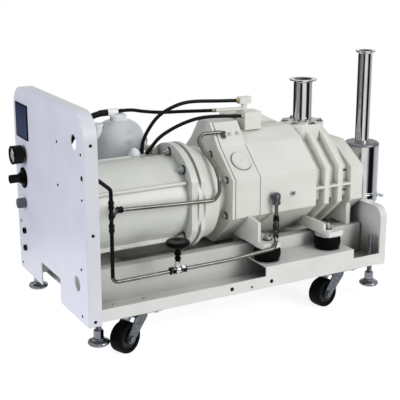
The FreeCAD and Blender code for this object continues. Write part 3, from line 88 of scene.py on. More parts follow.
def skin(grid, wrap=True):
    """Points and quads of a grid of points; wrap joins the last column to the first."""
    rows, columns = grid.shape[:2]
    number = np.arange(rows * columns).reshape(rows, columns)
    left = number if wrap else number[:, :-1]
    right = np.roll(number, -1, axis=1) if wrap else number[:, 1:]
    faces = np.stack((left[:-1], right[:-1], right[1:], left[1:]), axis=-1).reshape(-1, 4)
    return grid.reshape(-1, 3), faces


def round_body(radius, heights, columns=48):
    """Skin about +Z whose radius is a function of height (rows) and turn (columns), closed at both ends."""
    turns = np.linspace(0, TURN, columns, endpoint=False)
    rings = np.broadcast_to(np.asarray(radius, float).reshape(len(heights), -1), (len(heights), columns))
    rings = np.concatenate((np.zeros((1, columns)), rings, np.zeros((1, columns))))
    z = np.concatenate((heights[:1], heights, heights[-1:]))
    z = np.repeat(z[:, None], columns, 1)
    return skin(np.stack((rings * np.cos(turns), rings * np.sin(turns), z), axis=-1))


def turned(profile, columns=48):
    """Skin about +Z of a profile of (radius, height) points, which ends on the axis or closes on itself."""
    profile = np.asarray(profile, float)
    turns = np.linspace(0, TURN, columns, endpoint=False)
    r, z = profile[:, :1], profile[:, 1:]
    return skin(np.stack((r * np.cos(turns), r * np.sin(turns), z + 0 * turns), axis=-1))


def bead(radius, height, half_width, half_height, columns=72):
    """Ring about +Z with a round section: the profile is an ellipse about (radius, height)."""
    t = np.linspace(0, TURN, 13)
    profile = np.column_stack((radius + half_width * np.cos(t), height + half_height * np.sin(t)))
    return turned(profile, columns)


def hexagonal(across, height, both_ends=False):
    """Hexagon about +Z: the distance to the flats grows as 1 / cos of the turn within each sixth, cut by a
    30 degree cone at the top, and at the foot where both ends show."""
    sixth = (np.linspace(0, TURN, 48, endpoint=False) + TURN / 12) % (TURN / 6) - TURN / 12
    flats = across / 2 / np.cos(sixth)
    drop = across * 0.056
    z = np.concatenate((np.linspace(0, drop, 4), np.linspace(height - drop, height, 4)))
    cone = across * 0.48 + (height - z) * math.sqrt(3)
    if both_ends:
        cone = np.minimum(cone, across * 0.48 + z * math.sqrt(3))
    return round_body(np.minimum(flats, cone[:, None]), z)


def threaded(radius, length, pitch=1.6, columns=20, fine=6):
    """Screw thread about +Z: the radius dips once per pitch of height, a turn later for each turn round,
    and the end tapers as a cone."""
    z = np.linspace(0, length, int(length / pitch * fine) + 2)[:, None]
    turns = np.linspace(0, TURN, columns, endpoint=False)
    dip = 0.5 - 0.5 * np.cos(TURN * z / pitch - turns)
    r = np.minimum(radius - 0.5 * pitch * dip, radius - 0.6 * pitch + (length - z))
    return round_body(r, z[:, 0], columns)


def moved(part, centre):
    """Skin moved by an offset."""
    return part[0] + np.asarray(centre, float), part[1]


def copies(part, places):
    """One skin repeated at many places."""
    points, faces = part
    places = np.asarray(places, float)
    offsets = (np.arange(len(places)) * len(points))[:, None, None]
    all_points = (places[:, None] + points[None]).reshape(-1, 3)
    return all_points, (faces[None] + offsets).reshape(-1, faces.shape[1])


def together(*parts):
    """Several skins of quads as one."""
    sizes = np.cumsum([0] + [len(points) for points, _ in parts[:-1]])
    return (np.concatenate([points for points, _ in parts]),
            np.concatenate([faces + size for (_, faces), size in zip(parts, sizes)]))


def both_sides(part):
    """A skin and its mirror image on the rear side of the base."""
    points, faces = part
    return together(part, (points * (1, -1, 1) + (0, BASE_WIDTH, 0), faces[:, ::-1]))


def circle(centre, radius, degrees):
    """Places on a circle in the plane across X, at angles from +Y."""
    turns = np.radians(np.asarray(degrees, float))
    x, y, z = centre
    return np.column_stack((x + 0 * turns, y + radius * np.cos(turns), z + radius * np.sin(turns)))


def piece(name, part, body, finish, smooth=40.0):
    """Object made of a skin: doubles merged, faces turned outwards, finish and body given."""
    points, faces = part
    mesh = bpy.data.meshes.new(name)
    mesh.from_pydata((points * MM + datum).tolist(), [], faces.tolist())
    work = bmesh.new()
    work.from_mesh(mesh)
    bmesh.ops.remove_doubles(work, verts=work.verts, dist=2e-6)
    bmesh.ops.dissolve_degenerate(work, edges=work.edges, dist=1e-7)
    bmesh.ops.recalc_face_normals(work, faces=work.faces)
    work.to_mesh(mesh)
    work.free()
    mesh.shade_smooth()
    mesh.set_sharp_from_angle(angle=math.radians(smooth))
    mesh.materials.append(finish)
    obj = bpy.data.objects.new(name, mesh)
    bpy.context.scene.collection.objects.link(obj)
    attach(obj, body)
    return obj


# Finishes

def linear(code):
    """sRGB hex colour as linear red, green, blue and alpha."""
    levels = np.array([int(code[i:i + 2], 16) / 255 for i in (1, 3, 5)])
    return (*np.where(levels <= 0.04045, levels / 12.92, ((levels + 0.055) / 1.055) ** 2.4), 1.0)


def add(tree, kind, sockets=None, stops=(), **settings):
    """Adds one node: its settings, its sockets set to values or linked to other nodes, and the
    (position, hex colour) stops of a colour ramp."""
    node = tree.nodes.new(kind)
    for key, value in settings.items():
        setattr(node, key, value)
    for key, value in (sockets or {}).items():
        if isinstance(value, bpy.types.Node):
            value = value.outputs[0]
        if isinstance(value, bpy.types.NodeSocket):
            tree.links.new(value, node.inputs[key])
        else:
            node.inputs[key].default_value = value
    for i, (at, code) in enumerate(stops):
        if i >= len(node.color_ramp.elements):
            node.color_ramp.elements.new(at)
        node.color_ramp.elements[i].position = at
        node.color_ramp.elements[i].color = linear(code)
    return node


def new_finish(name):
    """Empty material: its node tree and its object coordinates."""
    material = bpy.data.materials.new(name)
    material.use_nodes = True
    tree = material.node_tree
    tree.nodes.clear()
    return material, tree, add(tree, "ShaderNodeTexCoord").outputs["Object"]


def shaded(material, tree, sockets):
    """Ends a material with one principled shader."""
    shader = add(tree, "ShaderNodeBsdfPrincipled", sockets)
    add(tree, "ShaderNodeOutputMaterial", {"Surface": shader})
    return material


def painted(name, colour, shade, peel, peel_height, roughness, edge=0.8 * MM, worn_edge_highlight="#F2F2EE",
            painted_shade="#6E6C60", reach=24 * MM, free=0.7, shut=0.2, depth=0.45, coat=0.0):
    """Paint on metal: two close colours in slow patches, orange peel of a real size, soft edges that are
    lighter in colour, partly as worn thin paint and partly as a painted highlight, and a roughness that
    wanders a little. Painted shade darkens the corners and hollows towards its colour: the open share of
    the surroundings within reach sets it, from none at the free share to its full depth at the shut one.
    A coat adds a soft layer of clear lacquer."""
    material, tree, where = new_finish(name)
    patches = add(tree, "ShaderNodeTexNoise", {"Vector": where, "Scale": 1 / 0.09, "Detail": 4.0})
    base = add(tree, "ShaderNodeValToRGB", {"Fac": patches}, ((0.35, shade), (0.65, colour)))
    corner = add(tree, "ShaderNodeBevel", {"Radius": edge}, samples=4)
    flat = add(tree, "ShaderNodeNewGeometry").outputs["Normal"]
    turn = add(tree, "ShaderNodeVectorMath", {0: corner, 1: flat}, operation="DOT_PRODUCT")
    rim = add(tree, "ShaderNodeMapRange", {"Value": turn.outputs["Value"], "From Min": 0.97, "From Max": 0.75,
                                           "To Max": 0.5})
    # Lighter edges: partly worn thin paint, partly a painted highlight.
    edge_lightened = add(tree, "ShaderNodeMix", {"Factor": rim, 6: base, 7: linear(worn_edge_highlight)}, data_type="RGBA")
    # Painted shade: occlusion darkens corners, hollows and the space under parts towards the shade colour.
    hollow = add(tree, "ShaderNodeAmbientOcclusion", {"Distance": reach}, samples=8)
    shade_share = add(tree, "ShaderNodeMapRange", {"Value": hollow.outputs["AO"], "From Min": free, "From Max": shut,
                                            "To Max": depth})
    coloured = add(tree, "ShaderNodeMix", {"Factor": shade_share, 6: edge_lightened.outputs[2], 7: linear(painted_shade)},
                   data_type="RGBA")
    peel_noise = add(tree, "ShaderNodeTexNoise", {"Vector": where, "Scale": 1 / peel, "Detail": 2.0})
    bump = add(tree, "ShaderNodeBump", {"Strength": 0.6, "Distance": peel_height, "Height": peel_noise,
                                        "Normal": corner})
    gloss = add(tree, "ShaderNodeMapRange", {"Value": patches.outputs["Fac"], "To Min": roughness - 0.05,
                                             "To Max": roughness + 0.06})
    return shaded(material, tree, {"Base Color": coloured.outputs[2], "Roughness": gloss, "Normal": bump,
                                   "IOR": 1.5, "Coat Weight": coat, "Coat Roughness": 0.35})


def metal(name, colour, dull, roughness, grain=(900.0, 900.0, 60.0), relief=0.01 * MM, edge=0.4 * MM):
    """Bare metal: two tones in slow clouds, fine drawn grain along one way, and soft edges."""
    material, tree, where = new_finish(name)
    stretched = add(tree, "ShaderNodeMapping", {"Vector": where, "Scale": grain})
    lines = add(tree, "ShaderNodeTexNoise", {"Vector": stretched, "Scale": 1.0, "Detail": 3.0})
    cloud = add(tree, "ShaderNodeTexNoise", {"Vector": where, "Scale": 1 / 0.03, "Detail": 3.0})
    tone = add(tree, "ShaderNodeValToRGB", {"Fac": cloud}, ((0.3, dull), (0.7, colour)))
    corner = add(tree, "ShaderNodeBevel", {"Radius": edge}, samples=4)
    bump = add(tree, "ShaderNodeBump", {"Strength": 0.5, "Distance": relief, "Height": lines,
                                        "Normal": corner})
    gloss = add(tree, "ShaderNodeMapRange", {"Value": lines.outputs["Fac"], "To Min": roughness * 0.7,
                                             "To Max": roughness * 1.4})
    return shaded(material, tree, {"Base Color": tone, "Metallic": 1.0, "Roughness": gloss, "Normal": bump})


def spangled_zinc():
    """Zinc-plated pressed steel: small crystal patches that differ in tone and gloss."""
    material, tree, where = new_finish("zinc_plated_steel")
    cells = add(tree, "ShaderNodeTexVoronoi", {"Vector": where, "Scale": 1 / 0.005, "Randomness": 1.0})
    tone = add(tree, "ShaderNodeValToRGB", {"Fac": cells.outputs["Color"]},
               ((0.2, "#54585C"), (0.8, "#72777B")))
    corner = add(tree, "ShaderNodeBevel", {"Radius": 0.6 * MM}, samples=4)
    gloss = add(tree, "ShaderNodeMapRange", {"Value": cells.outputs["Distance"], "From Max": 0.8,
                                             "To Min": 0.28, "To Max": 0.45})
    return shaded(material, tree, {"Base Color": tone, "Metallic": 1.0, "Roughness": gloss, "Normal": corner})


def moulded(name, colour, worn, roughness, grain=1.2 * MM, height=0.06 * MM, shine=0.25):
    """Rubber or plastic from a textured mould: fine pebbles, with paler dust in slow patches."""
    material, tree, where = new_finish(name)
    dust = add(tree, "ShaderNodeTexNoise", {"Vector": where, "Scale": 1 / 0.03, "Detail": 5.0})
    tone = add(tree, "ShaderNodeValToRGB", {"Fac": dust}, ((0.45, colour), (0.8, worn)))
    pebbles = add(tree, "ShaderNodeTexVoronoi", {"Vector": where, "Scale": 1 / grain})
    corner = add(tree, "ShaderNodeBevel", {"Radius": 0.5 * MM}, samples=4)
    bump = add(tree, "ShaderNodeBump", {"Strength": 0.5, "Distance": height, "Height": pebbles,
                                        "Normal": corner})
    gloss = add(tree, "ShaderNodeMapRange", {"Value": dust.outputs["Fac"], "To Min": roughness - 0.08,
                                             "To Max": roughness + 0.1})
    return shaded(material, tree, {"Base Color": tone, "Roughness": gloss, "Normal": bump, "IOR": 1.5,
                                   "Specular IOR Level": shine})


def display_glass():
    """Glass over a dark display: indigo at the top that fades to slate, with a faint cell pattern."""
    low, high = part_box("display_unit")
    material, tree, where = new_finish("display_glass")
    height = add(tree, "ShaderNodeSeparateXYZ", {"Vector": where}).outputs["Z"]
    share = add(tree, "ShaderNodeMapRange", {"Value": height, "From Min": low.z, "From Max": high.z})
    tone = add(tree, "ShaderNodeValToRGB", {"Fac": share},
               ((0.05, "#435062"), (0.45, "#3F4862"), (0.95, "#31354E")))
    cells = add(tree, "ShaderNodeTexVoronoi", {"Vector": where, "Scale": 1 / 0.002}, distance="CHEBYCHEV")
    bump = add(tree, "ShaderNodeBump", {"Strength": 0.1, "Distance": 0.01 * MM, "Height": cells})
    return shaded(material, tree, {"Base Color": tone, "Roughness": 0.16, "IOR": 1.52, "Normal": bump,
                                   "Coat Weight": 0.6, "Coat Roughness": 0.05})


def clear_glass():
    """Thin clear glass of a gauge: nearly nothing but a sharp reflection, with a faint wave in it."""
    material, tree, where = new_finish("gauge_glass")
    wave = add(tree, "ShaderNodeTexNoise", {"Vector": where, "Scale": 1 / 0.02, "Detail": 1.0})
    bump = add(tree, "ShaderNodeBump", {"Strength": 0.1, "Distance": 0.02 * MM, "Height": wave})
    return shaded(material, tree, {"Base Color": linear("#FFFFFF"), "Roughness": 0.02, "IOR": 1.5,
                                   "Transmission Weight": 1.0, "Normal": bump})


# Powder coat on sheet: satin, faintly blue grey, with a fine peel.
panel_coat = painted("powder_coated_sheet", "#D6D7DB", "#D1D2D8", 1.4 * MM, 0.03 * MM, 0.42, 2.5 * MM,
                     coat=0.25)
# Brushed enamel over sand-cast iron: thick warm white film over a coarse surface.
casing_enamel = painted("enamelled_cast_iron", "#DEDED6", "#D8D8CF", 2.2 * MM, 0.09 * MM, 0.36, 1.2 * MM)
# Sprayed enamel on a pressed shell: thinner, smoother and a little glossier.
motor_enamel = painted("enamelled_motor_shell", "#DDDED7", "#D6D8D0", 1.6 * MM, 0.05 * MM, 0.3, 1.0 * MM)
# Powder coat on the folded rails: neutral pale grey, with deep painted shade in the trough and under the
# pump.
rail_coat = painted("powder_coated_rail", "#D7D7D2", "#D0D0CB", 1.4 * MM, 0.03 * MM, 0.4, painted_shade="#3C392E",
                    reach=130 * MM, free=0.42, shut=0.1, depth=0.92)
# Enamel on the welded tank: cooler and glossier than the castings.
tank_enamel = painted("enamelled_tank", "#DDE0E1", "#D3D7DA", 1.6 * MM, 0.05 * MM, 0.22, 1.0 * MM)
# White enamel of the filler elbow and the small caps: cleaner and glossier than the tank.
fitting_enamel = painted("enamelled_fittings", "#F6F7F8", "#EDEFF1", 1.6 * MM, 0.02 * MM, 0.18, 1.0 * MM)
# Polished stainless pipe: mirrors the room in sharp bands.
polished_steel = metal("polished_stainless_steel", "#D4D5D4", "#C6C8C9", 0.07, relief=0.004 * MM)
# Bead-blasted stainless of the pipe's bore and the can's top: pale, slightly blue, with no mirror in it.
dull_steel = metal("bead_blasted_stainless", "#88888F", "#707077", 0.4, (700.0, 700.0, 700.0))
# Drawn stainless tube: grey, with a fine drawn haze.
tube_steel = metal("drawn_stainless_tube", "#7A7973", "#64635D", 0.24, (300.0, 300.0, 300.0))
# Zinc-plated bolts: bright, slightly bluish, soft reflections.
bolt_steel = metal("bright_zinc_bolts", "#C6C8CA", "#A9ACB0", 0.26, (500.0, 500.0, 500.0))
# Blackened steel: dark oxide film that still shines at the edges.
blackened_steel = metal("blackened_steel", "#232427", "#131416", 0.3, (400.0, 400.0, 400.0))
# Black chrome of the levelling feet and their studs: grey, with sharp reflections.
black_chrome = metal("black_chrome", "#8A8D92", "#74777D", 0.06, (500.0, 500.0, 500.0))
# Zinc plate on the castor forks and plates and on the filter: grey crystal patches.
zinc_steel = spangled_zinc()
# Ground steel of shafts, rotors and gears: even fine grey.
ground_steel = metal("ground_steel", "#A9ABAD", "#8C8F93", 0.35)
# Turned brass of the hose collars: pale yellow, fine lathe lines.
hose_brass = metal("turned_brass", "#BDB190", "#9C8F6A", 0.25, (60.0, 900.0, 900.0))
# Enamelled copper winding: dark red-brown metal.
winding_copper = metal("enamelled_copper", "#A8613A", "#7F4526", 0.4)
# Natural rubber of mounts and tyres: near black, dull, faint bloom.
mount_rubber = moulded("natural_rubber", "#050505", "#0B0A0A", 0.6, 1.6 * MM, 0.05 * MM, 0.06)
# Nitrile hose: black with a soft sheen.
hose_rubber = moulded("nitrile_hose_rubber", "#050506", "#0B0B0D", 0.36, 1.0 * MM, 0.02 * MM, 0.14)
# Gasket sheet between casing and gear case and round the cover: grey fibre, quite matt.
gasket_sheet = moulded("gasket_sheet", "#4A4944", "#5C5A54", 0.7)
# Glass-filled nylon: black satin moulding.
black_nylon = moulded("glass_filled_nylon", "#060607", "#0D0D0F", 0.4, 1.0 * MM, 0.02 * MM, 0.15)
# Phenolic knobs, pressed and polished: black with a clear gloss.
gloss_phenolic = moulded("polished_phenolic", "#030304", "#070708", 0.26, 3.0 * MM, 0.004 * MM, 0.05)
# Nylon of the wheel hubs: dark grey satin.
hub_nylon = moulded("dark_wheel_nylon", "#0E0F10", "#18191B", 0.42, 1.0 * MM, 0.02 * MM)
# Grey nylon of the small knob.
grey_nylon = moulded("grey_nylon", "#5A5A61", "#68686F", 0.45, 1.0 * MM)
# White enamel of the gauge dial.
dial_enamel = painted("dial_enamel", "#E8E8E4", "#E2E2DD", 1.0 * MM, 0.01 * MM, 0.5)
# Cover glass of the display: dark, and a little soft.
screen_glass = display_glass()
# Float glass of the gauge: thin and clear.
gauge_glass = clear_glass()

node_finishes = {
    panel_coat: ("front_panel",),
    casing_enamel: ("rotor_casing", "gear_case", "end_cover", "front_bearing_plate", "coupling_housing",
                    "pump_feet", "discharge_pipe", "terminal_box", "manifold"),
    motor_enamel: ("motor_housing", "motor_end_shield"),
    rail_coat: ("base_rail_front", "base_rail_rear", "cross_members", "mount_boxes", "end_plate"),
    tank_enamel: ("coolant_tank",),
    fitting_enamel: ("tank_fittings",),
    polished_steel: ("inlet_nozzle", "exhaust_silencer"),
    tube_steel: ("lower_tube", "upper_tube", "tube_fittings", "flow_valve_body"),
    bolt_steel: ("fasteners", "shaft_bearings", *(f"levelling_foot_{corner}" for corner in CORNERS)),
    zinc_steel: ("caster_plates", *(f"caster_fork_{corner}" for corner in CORNERS)),
    ground_steel: ("drive_rotor", "driven_rotor", "drive_gear", "driven_gear", "motor_rotor",
                   "shaft_coupling"),
    winding_copper: ("motor_stator",),
    mount_rubber: ("rubber_mounts", *(f"caster_wheel_{corner}" for corner in CORNERS)),
    hose_rubber: ("hose_return", "hose_supply", "hose_upper", "hose_lower"),
    black_nylon: ("gauge_body", "gauge_needle", "regulator_body", "regulator_knob", "flow_valve_handle",
                  "display_unit", "panel_ports"),
    grey_nylon: ("bypass_knob",),
}


def finish_nodes():
    """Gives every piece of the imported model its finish."""
    for finish, names in node_finishes.items():
        for name in names:
            mesh = frame["nodes"][name].data
            mesh.materials.clear()
            mesh.materials.append(finish)
            mesh.polygons.foreach_set("material_index", np.zeros(len(mesh.polygons), np.int32))


def second_finish(name, finish, chosen):
    """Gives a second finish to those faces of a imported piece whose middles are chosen."""
    mesh = frame["nodes"][name].data
    mesh.materials.append(finish)
    middle = np.empty(3 * len(mesh.polygons))
    mesh.polygons.foreach_get("center", middle)
    picked = chosen(*((middle.reshape(-1, 3) - datum) / MM).T)
    index = np.zeros(len(mesh.polygons), np.int32)
    mesh.polygons.foreach_get("material_index", index)
    index[picked] = len(mesh.materials) - 1
    mesh.polygons.foreach_set("material_index", index)


# Sizes of the pump, in millimetres from the panel datum

BASE_WIDTH = 472.0
pump_y, drive_y, axis_z = 236.0, 200.0, 313.0
inlet_x, inlet_r, inlet_foot_z = 737.0, 25.4, 458.0
exhaust_x, silencer_r = 918.0, 49.0
tank_at, tank_r = (250.0, 374.0), 66.0
riser_at = (65.0, 8.0)
valve_at = (232.0, 8.0, 189.6)
filter_at = (551.0, 74.0)
gauge_at, regulator_at, display_at = (403.0, 415.0), (414.0, 350.0), (407.0, 499.5)
flange_x, plate_x, cover_x = 309, 429, 838  # faces of coupling flange, bearing plate and end cover
rail_z = (100, 103)  # underside and top of the rails' floor
mount_x, mount_y = (508, 696), 48  # middles of the rubber mounts, near side
castor_x, castor_y = (137, 716), 46  # middles of the castor plates, near side
foot_x, foot_y = (35, 826), 30  # middles of the levelling feet, near side
breather_at = (242, 262, 406)
sight_port_z, sight_port_turn = 432.0, -0.85  # height, and turn about the tank from +X in radians


# Hoses

hose_radius = 4.7 * MM
return_hose_radius = 8.0 * MM
hose_routes = {
    "hose_return": (return_hose_radius, 0.410, (
        (0.218, 0.374, 0.506), (0.190, 0.374, 0.505), (0.161, 0.374, 0.494), (0.135, 0.375, 0.470),
        (0.114, 0.382, 0.436), (0.099, 0.392, 0.396), (0.088, 0.403, 0.350), (0.081, 0.413, 0.304),
        (0.077, 0.419, 0.264), (0.070, 0.422, 0.236), (0.056, 0.423, 0.216), (0.037, 0.423, 0.206),
        (0.016, 0.423, 0.205),
    )),
    "hose_supply": (hose_radius, 0.261, (
        (0.246, 0.374, 0.506), (0.277, 0.368, 0.510), (0.313, 0.354, 0.503), (0.353, 0.325, 0.5015),
        (0.393, 0.299, 0.505), (0.433, 0.273, 0.507), (0.472, 0.250, 0.509),
    )),
    "hose_upper": (hose_radius, 0.341, (
        (0.263, 0.262, 0.414), (0.263, 0.262, 0.440), (0.276, 0.260, 0.469), (0.304, 0.256, 0.508),
        (0.342, 0.252, 0.528), (0.380, 0.248, 0.539), (0.421, 0.244, 0.539), (0.463, 0.240, 0.536),
        (0.500, 0.2375, 0.534), (0.533, 0.236, 0.532),
    )),
    "hose_lower": (hose_radius, 0.294, (
        (0.272, 0.254, 0.414), (0.284, 0.252, 0.430), (0.306, 0.249, 0.455), (0.338, 0.243, 0.474),
        (0.373, 0.236, 0.489), (0.411, 0.228, 0.499), (0.450, 0.220, 0.5005), (0.492, 0.214, 0.498),
        (0.534, 0.212, 0.495),
    )),
}


def hose(name, radius, length, route):
    """Hose on a smooth line through its route, round in section, fixed at both ends."""
    points = place(route)
    curve = bpy.data.curves.new(name + "_line", "CURVE")
    curve.dimensions = "3D"
    spline = curve.splines.new("NURBS")
    spline.points.add(len(points) - 1)
    spline.points.foreach_set("co", np.column_stack((points, np.ones(len(points)))).ravel())
    spline.order_u = 3
    spline.use_endpoint_u = True
    spline.resolution_u = 10
    curve.bevel_depth = radius
    curve.bevel_resolution = 8
    curve.use_fill_caps = True
    curve.materials.append(hose_rubber)
    obj = bpy.data.objects.new(name + "_rubber", curve)
    bpy.context.scene.collection.objects.link(obj)
    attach(obj, "pump")
    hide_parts(name)


def crimp(radius, length, rings=3):
    """Crimped collar about +Z: the radius is a wave of shallow rings."""
    z = np.linspace(0, length, 12 * rings + 1)
    return round_body((radius + 0.9 - 0.25 * (1 - np.cos(TURN * rings * z / length)))[:, None], z, 32)


def hose_ends():
    """Brass collars where the thin hoses meet the casing, black ones at tank, motor and panel."""
    brass, black = [], []
    for name, (radius, _, route) in hose_routes.items():
        start, after, end, before = np.array((route[0], route[1], route[-1], route[-2])) / MM
        r = radius / MM
        if name == "hose_return":
            black += [aimed(crimp(r, 22), after - start, start), aimed(crimp(r, 16), before - end, end)]
        else:
            black.append(aimed(crimp(r, 14), after - start, start))
            brass.append(aimed(crimp(r, 9, 2), before - end, end))
    piece("hose_collars_brass", together(*brass), "pump", hose_brass)
    piece("hose_collars_black", together(*black), "pump", black_nylon)


# Bolts and screws

def washer(across):
    """Washer about +Z for a bolt of this size."""
    r = across * 0.72
    return turned(((0, 0), (r - 0.3, 0), (r, 0.3), (r, 1.3), (r - 0.3, 1.6), (0, 1.6)), 32)


def bolt(across, height, stud_r=0.0, reach=0.0):
    """Nut or bolt head about +Z over its washer, with the threaded end of a stud that stands out of it."""
    parts = [moved(hexagonal(across, height), (0, 0, 1.6))]
    if reach:
        parts.append(moved(threaded(stud_r, reach), (0, 0, 1.6 + height)))
    return together(*parts)


def dome_head(radius, height, socket):
    """Button head about +Z: a quarter ellipse with a straight socket sunk in its top."""
    t = np.linspace(0, math.acos(socket / radius), 9)
    outer = np.column_stack((radius * np.cos(t), height * np.sin(t)))
    top = outer[-1]
    return turned(np.vstack(((0, 0), outer, (socket, top[1] - 0.6 * height), (0, top[1] - 0.6 * height))), 24)


def machine_bolts():
    """Bolts, studs and nuts that hold the pump together and to its base."""
    turns = np.radians(30 + 60 * np.arange(6))
    mount_at = [(x, mount_y, 208) for x in mount_x]
    # Each row: size across the flats, height, radius and reach of a stud's end, way, places.
    rings = (
        (16, 8, 4.2, 7, BACK, circle((flange_x, drive_y, axis_z), 115, (48, 90, 132, 228, 270, 312))),
        (13, 6.5, 0, 0, BACK, circle((plate_x, drive_y, axis_z), 94, (28, 90, 152, 212, 270, 328))),
        (13, 6.5, 0, 0, FRONT, [(cover_x, y, z) for y, z in (
            (115, 285), (115, 340), (205, 205), (357, 285), (357, 340), (267, 205))]),
        (12, 5.5, 0, 0, UP, np.column_stack((
            inlet_x + 47 * np.cos(turns), pump_y + 47 * np.sin(turns), inlet_foot_z + 0 * turns))),
        (17, 9, 6, 5, UP, mount_at),
        (17, 9, 6, 5, UP, [(x, BASE_WIDTH - y, z) for x, y, z in mount_at]),
    )
    bolts = together(*(copies(aimed(bolt(across, height, stud, reach), way), places)
                       for across, height, stud, reach, way, places in rings))
    washers = together(*(copies(aimed(washer(across), way), places)
                         for across, _, _, _, way, places in rings))
    piece("machine_washers", washers, "pump", blackened_steel)
    low, top = rail_z
    low_nuts = copies(aimed(bolt(17, 9, 6, 3), DOWN), [(x, mount_y, 152) for x in mount_x])
    castor_at = [(x + dx, castor_y + dy) for x in castor_x for dx in (-40, 40) for dy in (-32, 32)]
    castor_bolts = together(copies(dome_head(5, 2.8, 2), [(x, y, top) for x, y in castor_at]),
                            copies(aimed(hexagonal(12, 5), DOWN), [(x, y, low - 3) for x, y in castor_at]))
    foot_nuts = together(copies(hexagonal(22, 9), [(x, foot_y, top) for x in foot_x]),
                         copies(aimed(hexagonal(22, 9), DOWN), [(x, foot_y, low) for x in foot_x]))
    base_bolts = both_sides(together(low_nuts, castor_bolts, foot_nuts))
    plug = aimed(hexagonal(14, 3), NEAR, (611, 90, 305))
    obj = piece("machine_bolts", together(bolts, base_bolts, plug), "pump", bolt_steel)
    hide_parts("fasteners")


def sheet_screws():
    """Screws on the face and the edge of the front panel, and plugs in the holes of the rails' lips."""
    face_at = ((163.5, 494.5), (166, 390), (17.7, 493.5), (17.7, 390), (33.7, 223), (37.4, 108),
               (453.8, 224), (455, 108))
    heads = copies(aimed(dome_head(3.4, 1.8, 1.4), BACK), [(0, y, z) for y, z in face_at])
    edge = copies(aimed(dome_head(3.8, 1.8, 1.4), NEAR), [(16.5, 0, z) for z in (515, 310, 104)])
    piece("panel_screws", together(heads, edge), "pump", blackened_steel)
    large = copies(aimed(dome_head(5.2, 1.4, 2.0), NEAR), [(x, 0, 115) for x in (377, 492)])
    small = aimed(dome_head(2.9, 1.0, 1.0), NEAR, (434.5, 0, 110))
    piece("lip_plugs", both_sides(together(large, small)), "pump", black_nylon)


# Wheels, feet and mounts

def superellipse(r, z, half_r, half_z, power, count=33):
    """Closed profile about (r, z): sine and cosine raised to a power below one square it up."""
    t = np.linspace(0, TURN, count)
    c, s = (np.sign(wave) * np.abs(wave) ** power for wave in (np.cos(t), np.sin(t)))
    return np.column_stack((r + half_r * c, z + half_z * s))


def castors():
    """Rubber tyre and nylon hub of each castor, on the axle that the frame gives."""
    tyre = turned(superellipse(31.0, 0, 6.5, 17.8, 0.55), 64)
    hub = turned(((5.1, -18.5), (12, -18.5), (14, -17.5), (14.5, -12.5), (23, -11.5), (26.5, -14), (26.5, 14),
                  (23, 11.5), (14.5, 12.5), (14, 17.5), (12, 18.5), (5.1, 18.5), (5.1, -18.5)), 64)
    for joint in frame["record"]["behaviour"]["joints"]:
        if not joint["name"].startswith("roll_"):
            continue
        centre = (np.array(joint["pos_m"]) - datum) / MM
        corner = joint["name"][len("roll_"):]
        body = joint["child"]
        obj = piece(f"tyre_{corner}", aimed(tyre, joint["axis"], centre), body, mount_rubber, 60)
        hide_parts(body)
        piece(f"hub_{corner}", aimed(hub, joint["axis"], centre), body, hub_nylon)


def levelling_feet():
    """Pad with a round rim, adjusting hexagon and threaded stud of each screw foot."""
    t = np.linspace(-math.pi / 2, 1.2, 17)
    rim = np.column_stack((18.5 + 7.3 * np.cos(t), 40 + 6 * np.sin(t)))
    pad = together(turned(np.vstack(((0, 34), rim, (15.5, 47.6), (13, 51), (0, 51))), 64),
                   moved(hexagonal(21, 20, True), (0, 0, 51)))
    stud = moved(threaded(7, 103, 2.0, 24), (0, 0, 71))
    for end, x in zip(("front", "rear"), foot_x):
        for side, y in (("near", foot_y), ("far", BASE_WIDTH - foot_y)):
            body = f"levelling_foot_{end}_{side}"
            obj = piece(f"foot_pad_{end}_{side}", moved(pad, (x, y, 0)), body, black_chrome)
            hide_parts(body)
            piece(f"foot_stud_{end}_{side}", moved(stud, (x, y, 0)), body, black_chrome)


def rubber_mounts():
    """Barrel of rubber between two steel plates under each foot of the casing."""
    z = np.linspace(158, 192, 15)
    barrel = round_body((30.5 + 4.5 * np.sin((z - 158) / 34 * math.pi) ** 0.8)[:, None], z, 56)
    plate = turned(((0, 0), (33, 0), (34, 1), (34, 2.5), (33, 3), (0, 3)), 56)
    plates = together(moved(plate, (0, 0, 155)), moved(plate, (0, 0, 192)))
    places = [(x, y, 0) for x in mount_x for y in (mount_y, BASE_WIDTH - mount_y)]
    obj = piece("mount_barrels", copies(barrel, places), "pump", mount_rubber)
    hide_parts("rubber_mounts")
    piece("mount_plates", copies(plates, places), "pump", bolt_steel)


# Tubes and valve

def union(across, length, radius):
    """Tube union about +Z, centred: two nuts with a waist and a sleeve at each end."""
    half = length / 2
    nut = length * 0.34
    sleeve = turned(((0, -half), (radius, -half), (radius, half), (0, half)), 32)
    return together(sleeve, moved(hexagonal(across, nut, True), (0, 0, 1.5)),
                    moved(hexagonal(across, nut, True), (0, 0, -1.5 - nut)))


